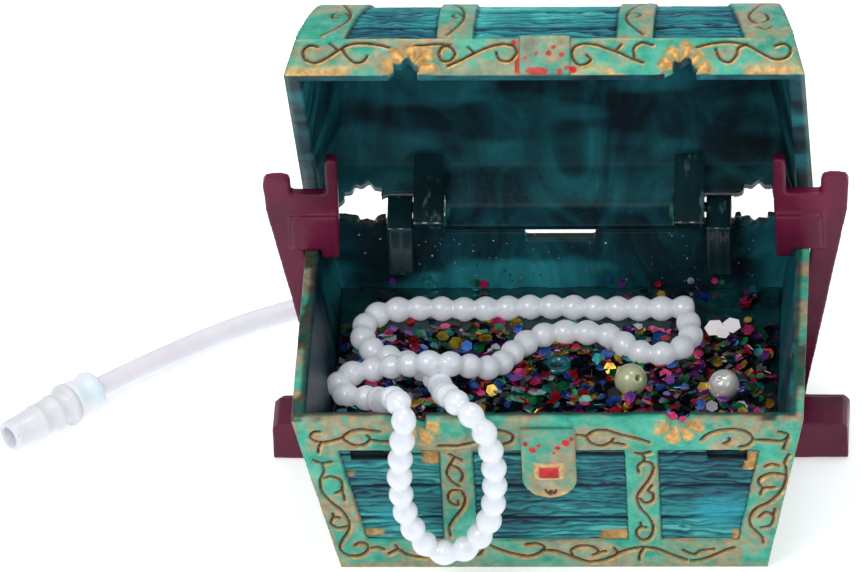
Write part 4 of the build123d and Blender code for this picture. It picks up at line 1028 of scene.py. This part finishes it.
cap = remeshed("lid_lock_plate", "lid_lock_plate_painted", LOCK_VOXEL, 3, "lid", M_LOCK)
pts, nrm = shut_surface(cap.data)
u, v = pts[:, 0], pts[:, 2] - RIM_Z
front = step(-nrm[:, 1], 0.5, 0.8)
red = np.max([
    blots(u, v, ((-2.6, 0.7, 1.0), (-1.4, 0.9, 0.9), (0.2, 0.3, 0.5), (-1.6, 4.2, 0.7), (0.9, 4.4, 0.7),
                 (3.4, 4.0, 0.6), (3.0, 0.5, 0.8), (4.4, 1.2, 0.7), (1.8, 5.6, 0.5), (-3.6, 3.4, 0.5)),
          230, 0.7, 0.5),
    fall(u, -4.9, -4.4), fall(np.hypot((u + 1.4) / 2.6, (v - 0.6) / 0.9), 0.7, 1.1),
    0.40 * spots(u * 0.35, v * 0.3, 236, 0.42, 0.68)], axis=0)
write_masks(cap.data, splash=red * 0.9,
            gild=0.5 * step(v, 7.0, 8.0) * spots(u * 0.3, v * 0.3, 232, 0.5, 0.65))
bulge = front * 0.3 * (patchy(u * 0.5, v * 0.5, 234) - 0.5)
write_points(cap.data, swing(pts + bulge[:, None] * np.array((0, -1.0, 0)), -OPEN_ANGLE))

# ---------------- side supports and hinges
for hand, word in ((-1, "left"), (1, "right")):
    support = remeshed(f"side_support_{word}", f"side_support_{word}_moulded", SUPPORT_VOXEL, 5,
                       f"support_{word}", M_BURGUNDY)
    pts, nrm = surface(support.data)
    # Soft sink marks, as on moulded plastic.
    x, z = hand * pts[:, 0], pts[:, 2]
    sink = 0.22 * (patchy(x * 0.12, z * 0.10, 300 + hand) - 0.5)
    sink += 0.10 * (patchy(x * 0.5, z * 0.4, 302 + hand) - 0.5)
    write_points(support.data, pts + sink[:, None] * nrm)
    for kind, body in (("base_hinge_lug", "base"), ("lid_hinge_arm", "lid")):
        piece = remeshed(f"{kind}_{word}", f"{kind}_{word}_moulded", HINGE_VOXEL, 4, body,
                         M_HINGE)
        pts, nrm = surface(piece.data)
        rib = 0.06 * np.sin(pts[:, 0] * 2.6) + 0.10 * (patchy(pts[:, 0] * 0.4, pts[:, 2] * 0.12, 310) - 0.5)
        moved = pts + rib[:, None] * nrm * (np.abs(nrm[:, 0]) < 0.4)[:, None]
        if body == "base":
            above_foot = pts[:, 2] - pts[:, 2].min()
            moved[:, 2] += LUG_FOOT_RISE * np.clip(1 - above_foot / LUG_FOOT_REACH, 0, 1)
        write_points(piece.data, moved)
def dress(node, material, bevel=0.0):
    """A CAD node that stays: its material, and softened edges."""
    obj = NODES[node]
    obj.data.materials.clear()
    obj.data.materials.append(material)
    if bevel:
        soft = obj.modifiers.new("soft_edges", "BEVEL")
        soft.width = bevel * MM
        soft.segments = 3
        soft.limit_method = "ANGLE"
        soft.angle_limit = math.radians(35)


for node, material, bevel in (
        ("bottom_plate", M_DARK, 0.2), ("ballast_weight", M_STONE, 0.5), ("treasure_tray", M_DARK, 0.0),
        ("air_inlet_fitting", M_DARK, 0.15), ("riser_tube", M_TUBE, 0.0), ("hinge_pin_left", M_PIN, 0.15),
        ("hinge_pin_right", M_PIN, 0.15)):
    dress(node, material, bevel)

# ---------------- bed, nozzle and loose pearls
BED_TOP, BED_LOW = 24.5, 22.05
NOZZLE_Y = 3.5
WALL = 2.8
IVORY_PEARL, WHITE_PEARL = (15.0, -4.5, 3.25), (33.4, -6.0, 3.1)


def inside_half(half, taper, z):
    return half - taper * (1 - z / BASE_HEIGHT) - WALL - 0.06


COLUMNS, ROWS = 150, 104
bed_x = inside_half(HALF_LENGTH, END_TAPER, BED_TOP)
bed_y = inside_half(HALF_DEPTH, SIDE_TAPER, BED_TOP)
low_x = inside_half(HALF_LENGTH, END_TAPER, BED_LOW)
low_y = inside_half(HALF_DEPTH, SIDE_TAPER, BED_LOW)
grid_x, grid_y = np.meshgrid(np.linspace(-1, 1, COLUMNS), np.linspace(-1, 1, ROWS))
flat_x, flat_y = grid_x.ravel(), grid_y.ravel()
lumps = 0.9 * patchy(flat_x * 7, flat_y * 5, 401) + 0.5 * patchy(flat_x * 22, flat_y * 16, 403)
top_z = BED_TOP - 0.95 + lumps * 0.95
# The bed is level round the loose pearls and the nozzle.
for px, py, near, far, sunk in ((*IVORY_PEARL[:2], 1.8, 3.4, 0.75), (*WHITE_PEARL[:2], 1.8, 3.4, 0.75),
                                (0, NOZZLE_Y, 3.4, 4.6, 0.1)):
    level_part = fall(np.hypot(flat_x * bed_x - px, flat_y * bed_y - py), near, far)
    top_z = top_z * (1 - level_part) + (BED_TOP - sunk) * level_part
tops = [Vector((x * bed_x, y * bed_y, z)) * MM for x, y, z in zip(flat_x, flat_y, top_z)]
lows = [Vector((x * low_x, y * low_y, BED_LOW)) * MM for x, y in zip(flat_x, flat_y)]
count = COLUMNS * ROWS
index = np.arange(count).reshape(ROWS, COLUMNS)
faces = []
for a in index[:-1, :-1].ravel().tolist():
    quad = (a, a + 1, a + COLUMNS + 1, a + COLUMNS)
    faces += [quad, tuple(count + q for q in reversed(quad))]
edge = np.concatenate([index[0], index[1:, -1], index[-1, -2::-1], index[-2:0:-1, 0]]).tolist()
for a, b in zip(edge, edge[1:] + edge[:1]):
    faces.append((b, a, count + a, count + b))
bed = link("glitter_resin_bed", tops + lows, faces, M_RESIN, "base")
bare = step(flat_y * bed_y + 5 * patchy(flat_x * 6, flat_y * 3, 405), 18.5, 21.5)
write_masks(bed.data, bare=np.concatenate([bare, bare]))
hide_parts("glitter_bed")

nozzle = lathe("bubble_nozzle_ring", (0, NOZZLE_Y, BED_TOP), (0, 0, 1),
               [(-2.4, 1.0), (-2.4, 2.3), (0.02, 2.3), (0.05, 2.7), (0.2, 2.95), (0.5, 3.0), (0.85, 2.95),
                (1.15, 2.75), (1.3, 2.4), (1.3, 2.05), (1.15, 1.7), (0.85, 1.4), (0.5, 1.15), (0.0, 1.0)],
               M_NOZZLE, "base")
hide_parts("bubble_nozzle")


def drilled_pearl(name, pearl, hole, axis, material, node):
    """A round bead with a hole drilled right through it. hole is the hole's radius."""
    x, y, radius = pearl
    profile = []
    start = math.asin(hole / radius)
    for k in range(29):
        a = start + (math.pi - 2 * start) * k / 28
        profile.append((-radius * math.cos(a), radius * math.sin(a)))
    bead = lathe(name, (x, y, BED_TOP - 0.5 + radius), axis, profile, material, "base")
    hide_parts(node)
    return bead


drilled_pearl("loose_pearl_ivory_bead", IVORY_PEARL, 0.66, (0.50, -0.62, 0.60), M_IVORY,
              "loose_pearl_ivory")
drilled_pearl("loose_pearl_white_bead", WHITE_PEARL, 0.45, (-0.30, -0.50, 0.81), M_WHITE,
              "loose_pearl_white")

# ---------------- glitter: hexagonal flakes, one piece for each colour
FLAKE_COLOURS = (
    ("pink", (226, 24, 96), (255, 92, 150), 150),
    ("red", (150, 12, 28), (214, 44, 48), 170),
    ("blue", (20, 44, 130), (70, 130, 225), 150),
    ("green", (8, 84, 50), (50, 160, 96), 210),
    ("gold", (140, 98, 16), (236, 196, 70), 150),
    ("purple", (70, 20, 104), (140, 64, 176), 150),
    ("silver", (120, 126, 140), (236, 238, 246), 60),
    ("teal", (6, 84, 94), (60, 176, 184), 140),
    ("black", (8, 10, 16), (34, 30, 44), 560),
)
# Specks of dust on the back wall, and flakes on the front rim, for the colours that have them.
DUST = {"silver": 46, "teal": 46, "green": 8}
RIM_FLAKES = {"pink": ((24.2, -33.4, 39.6), (26.6, -33.8, 38.9)), "blue": ((28.0, -33.6, 39.4),)}
FLAKE_LIFTS = (0.15, 0.35, 0.7, 1.0, 1.35)
BED_EDGE, BARE_FROM, BARE_SHARE = 1.4, 16, 0.12
NOZZLE_CLEARANCE = 2.9
LUG_X, LUG_CLEARANCE = 31.7, 3.4
DUST_HALF, DUST_TOP = 41, 36.2
scatter = random.Random(77)


def flake_material(name, dark, light):
    # The bright flakes glow: painted light.
    p = Paint(f"glitter_{name}", Coat_Weight=0.6, Coat_Roughness=0.06, Metallic=0.7,
              Emission_Color=linear(light), Emission_Strength=0.45 if name == "bright" else 0.0)
    p.feed(Base_Color=p.ramp(p.noise(420, detail=2), (0.35, dark), (0.65, light)))
    p.feed(Roughness=p.blend(p.noise(900), 0.10, 0.26))
    return p.mat


def flake(verts, faces, centre, radius, tilt, heading, thick=0.09):
    """One thin hexagonal plate."""
    turned = Matrix.Rotation(heading, 3, "Z") @ Matrix.Rotation(tilt, 3, "X")
    turned = turned @ Matrix.Rotation(heading * 1.7, 3, "Z")
    first = len(verts)
    for level in (thick, -thick):
        for k in range(6):
            a = math.pi * k / 3
            verts.append((centre + turned @ Vector((radius * math.cos(a), radius * math.sin(a), level))) * MM)
    faces.append(tuple(first + k for k in range(6)))
    faces.append(tuple(first + 6 + k for k in reversed(range(6))))
    for k in range(6):
        m = (k + 1) % 6
        faces.append((first + m, first + k, first + 6 + k, first + 6 + m))


def clear_spot(x, y, margin):
    """Whether a flake may lie here: not on the nozzle or in a loose pearl."""
    if math.hypot(x, y - NOZZLE_Y) < NOZZLE_CLEARANCE + margin:
        return False
    return all(math.hypot(x - px, y - py) > pr * 0.8 + margin for px, py, pr in (IVORY_PEARL, WHITE_PEARL))


for name, dark, light, amount in FLAKE_COLOURS:
    verts, faces = [], []
    made = 0
    while made < amount:
        x = scatter.uniform(-bed_x + BED_EDGE, bed_x - BED_EDGE)
        y = scatter.uniform(-bed_y + BED_EDGE, bed_y - BED_EDGE)
        if scatter.random() > (1.0 if y < BARE_FROM else BARE_SHARE) or not clear_spot(x, y, 0.1):
            continue
        size = scatter.uniform(0.9, 1.5)
        lift = scatter.choice(FLAKE_LIFTS) + (0.5 if -14 < y < -2 and abs(x) > 6 else 0)
        tilt, heading = scatter.gauss(0, 0.42), scatter.uniform(0, 6.28)
        flake(verts, faces, Vector((x, y, BED_TOP + lift)), size, tilt, heading)
        made += 1
    # A few flakes of each colour caught on the walls.
    for _ in range(3):
        x, z = scatter.uniform(-40, 40), BED_TOP + 0.4 + scatter.expovariate(1.4)
        y = inside_half(HALF_DEPTH, SIDE_TAPER, z) - 0.25
        side = scatter.choice((-1, 1, -1))
        flake(verts, faces, Vector((x, side * y, min(z, 36))), scatter.uniform(0.6, 1.1), 1.4, 0.0)
    for _ in range(DUST.get(name, 0)):
        x, z = scatter.uniform(-DUST_HALF, DUST_HALF), scatter.uniform(BED_TOP + 1, DUST_TOP)
        if abs(abs(x) - LUG_X) < LUG_CLEARANCE:
            continue
        y = inside_half(HALF_DEPTH, SIDE_TAPER, z) - 0.05
        flake(verts, faces, Vector((x, y, z)), scatter.uniform(0.10, 0.26), 1.45, 0.0, 0.05)
    for place in RIM_FLAKES.get(name, ()):
        flake(verts, faces, Vector(place), 1.25, 0.9, 0.1)
    link(f"glitter_flakes_{name}", verts, faces, flake_material(name, dark, light), "base",
         smooth=False)

# Bright loose flakes near the right end, which glow as painted light, and some with a shifting colour by the
# nozzle.
for name, dark, light, z, flakes in (
        ("bright", (250, 214, 226), (255, 250, 252), 27.4,
         ((31.0, 12.6, 2.0, 0.35), (34.4, 13.4, 1.9, -0.3), (32.6, 10.8, 1.5, 0.2))),
        ("shifting", (30, 120, 130), (150, 226, 190), 26.0,
         ((-3.4, -6.8, 1.9, 0.3), (-7.2, -9.0, 1.5, -0.3), (6.2, -9.6, 1.4, 0.4)))):
    verts, faces = [], []
    for x, y, radius, tilt in flakes:
        flake(verts, faces, Vector((x, y, z)), radius, tilt, x)
    link(f"glitter_flakes_{name}", verts, faces, flake_material(name, dark, light), "base",
         smooth=False)
# ---------------- floor and lights
floor_mesh = bpy.data.meshes.new("floor")
FLOOR_HALF = 6.0
floor_mesh.from_pydata([(x * FLOOR_HALF, y * FLOOR_HALF, 0) for x, y in ((-1, -1), (1, -1), (1, 1), (-1, 1))],
                       [], [(0, 1, 2, 3)])
floor = bpy.data.objects.new("floor", floor_mesh)
floor_paint = Paint("floor", Roughness=0.9, Emission_Color=(1, 1, 1, 1), Emission_Strength=0.40)
floor_tone = floor_paint.ramp(floor_paint.noise(3), (0.3, (244, 245, 247)), (0.7, (247, 248, 249)))
floor_paint.feed(Base_Color=floor_tone)
floor_mesh.materials.append(floor_paint.mat)
bpy.context.collection.objects.link(floor)

world = bpy.data.worlds.new("studio")
bpy.context.scene.world = world
world.use_nodes = True
world.node_tree.nodes["Background"].inputs["Color"].default_value = (0.93, 0.96, 1.0, 1)
world.node_tree.nodes["Background"].inputs["Strength"].default_value = 0.50


def softbox(name, place, power, size, colour=(1, 1, 1)):
    data = bpy.data.lights.new(name, "AREA")
    data.energy = power
    data.size = size
    data.color = colour
    lamp = bpy.data.objects.new(name, data)
    lamp.location = place
    lamp.rotation_mode = "QUATERNION"
    lamp.rotation_quaternion = (AIM - Vector(place)).to_track_quat("-Z", "Y")
    bpy.context.collection.objects.link(lamp)


softbox("key", (-0.40, -0.50, 0.80), 4.1, 0.45, (1.0, 0.98, 0.95))
softbox("fill", (0.65, -0.6, 0.45), 1.6, 0.6, (0.95, 0.98, 1.0))
softbox("top", (0.10, 0.10, 1.0), 3.1, 0.4)
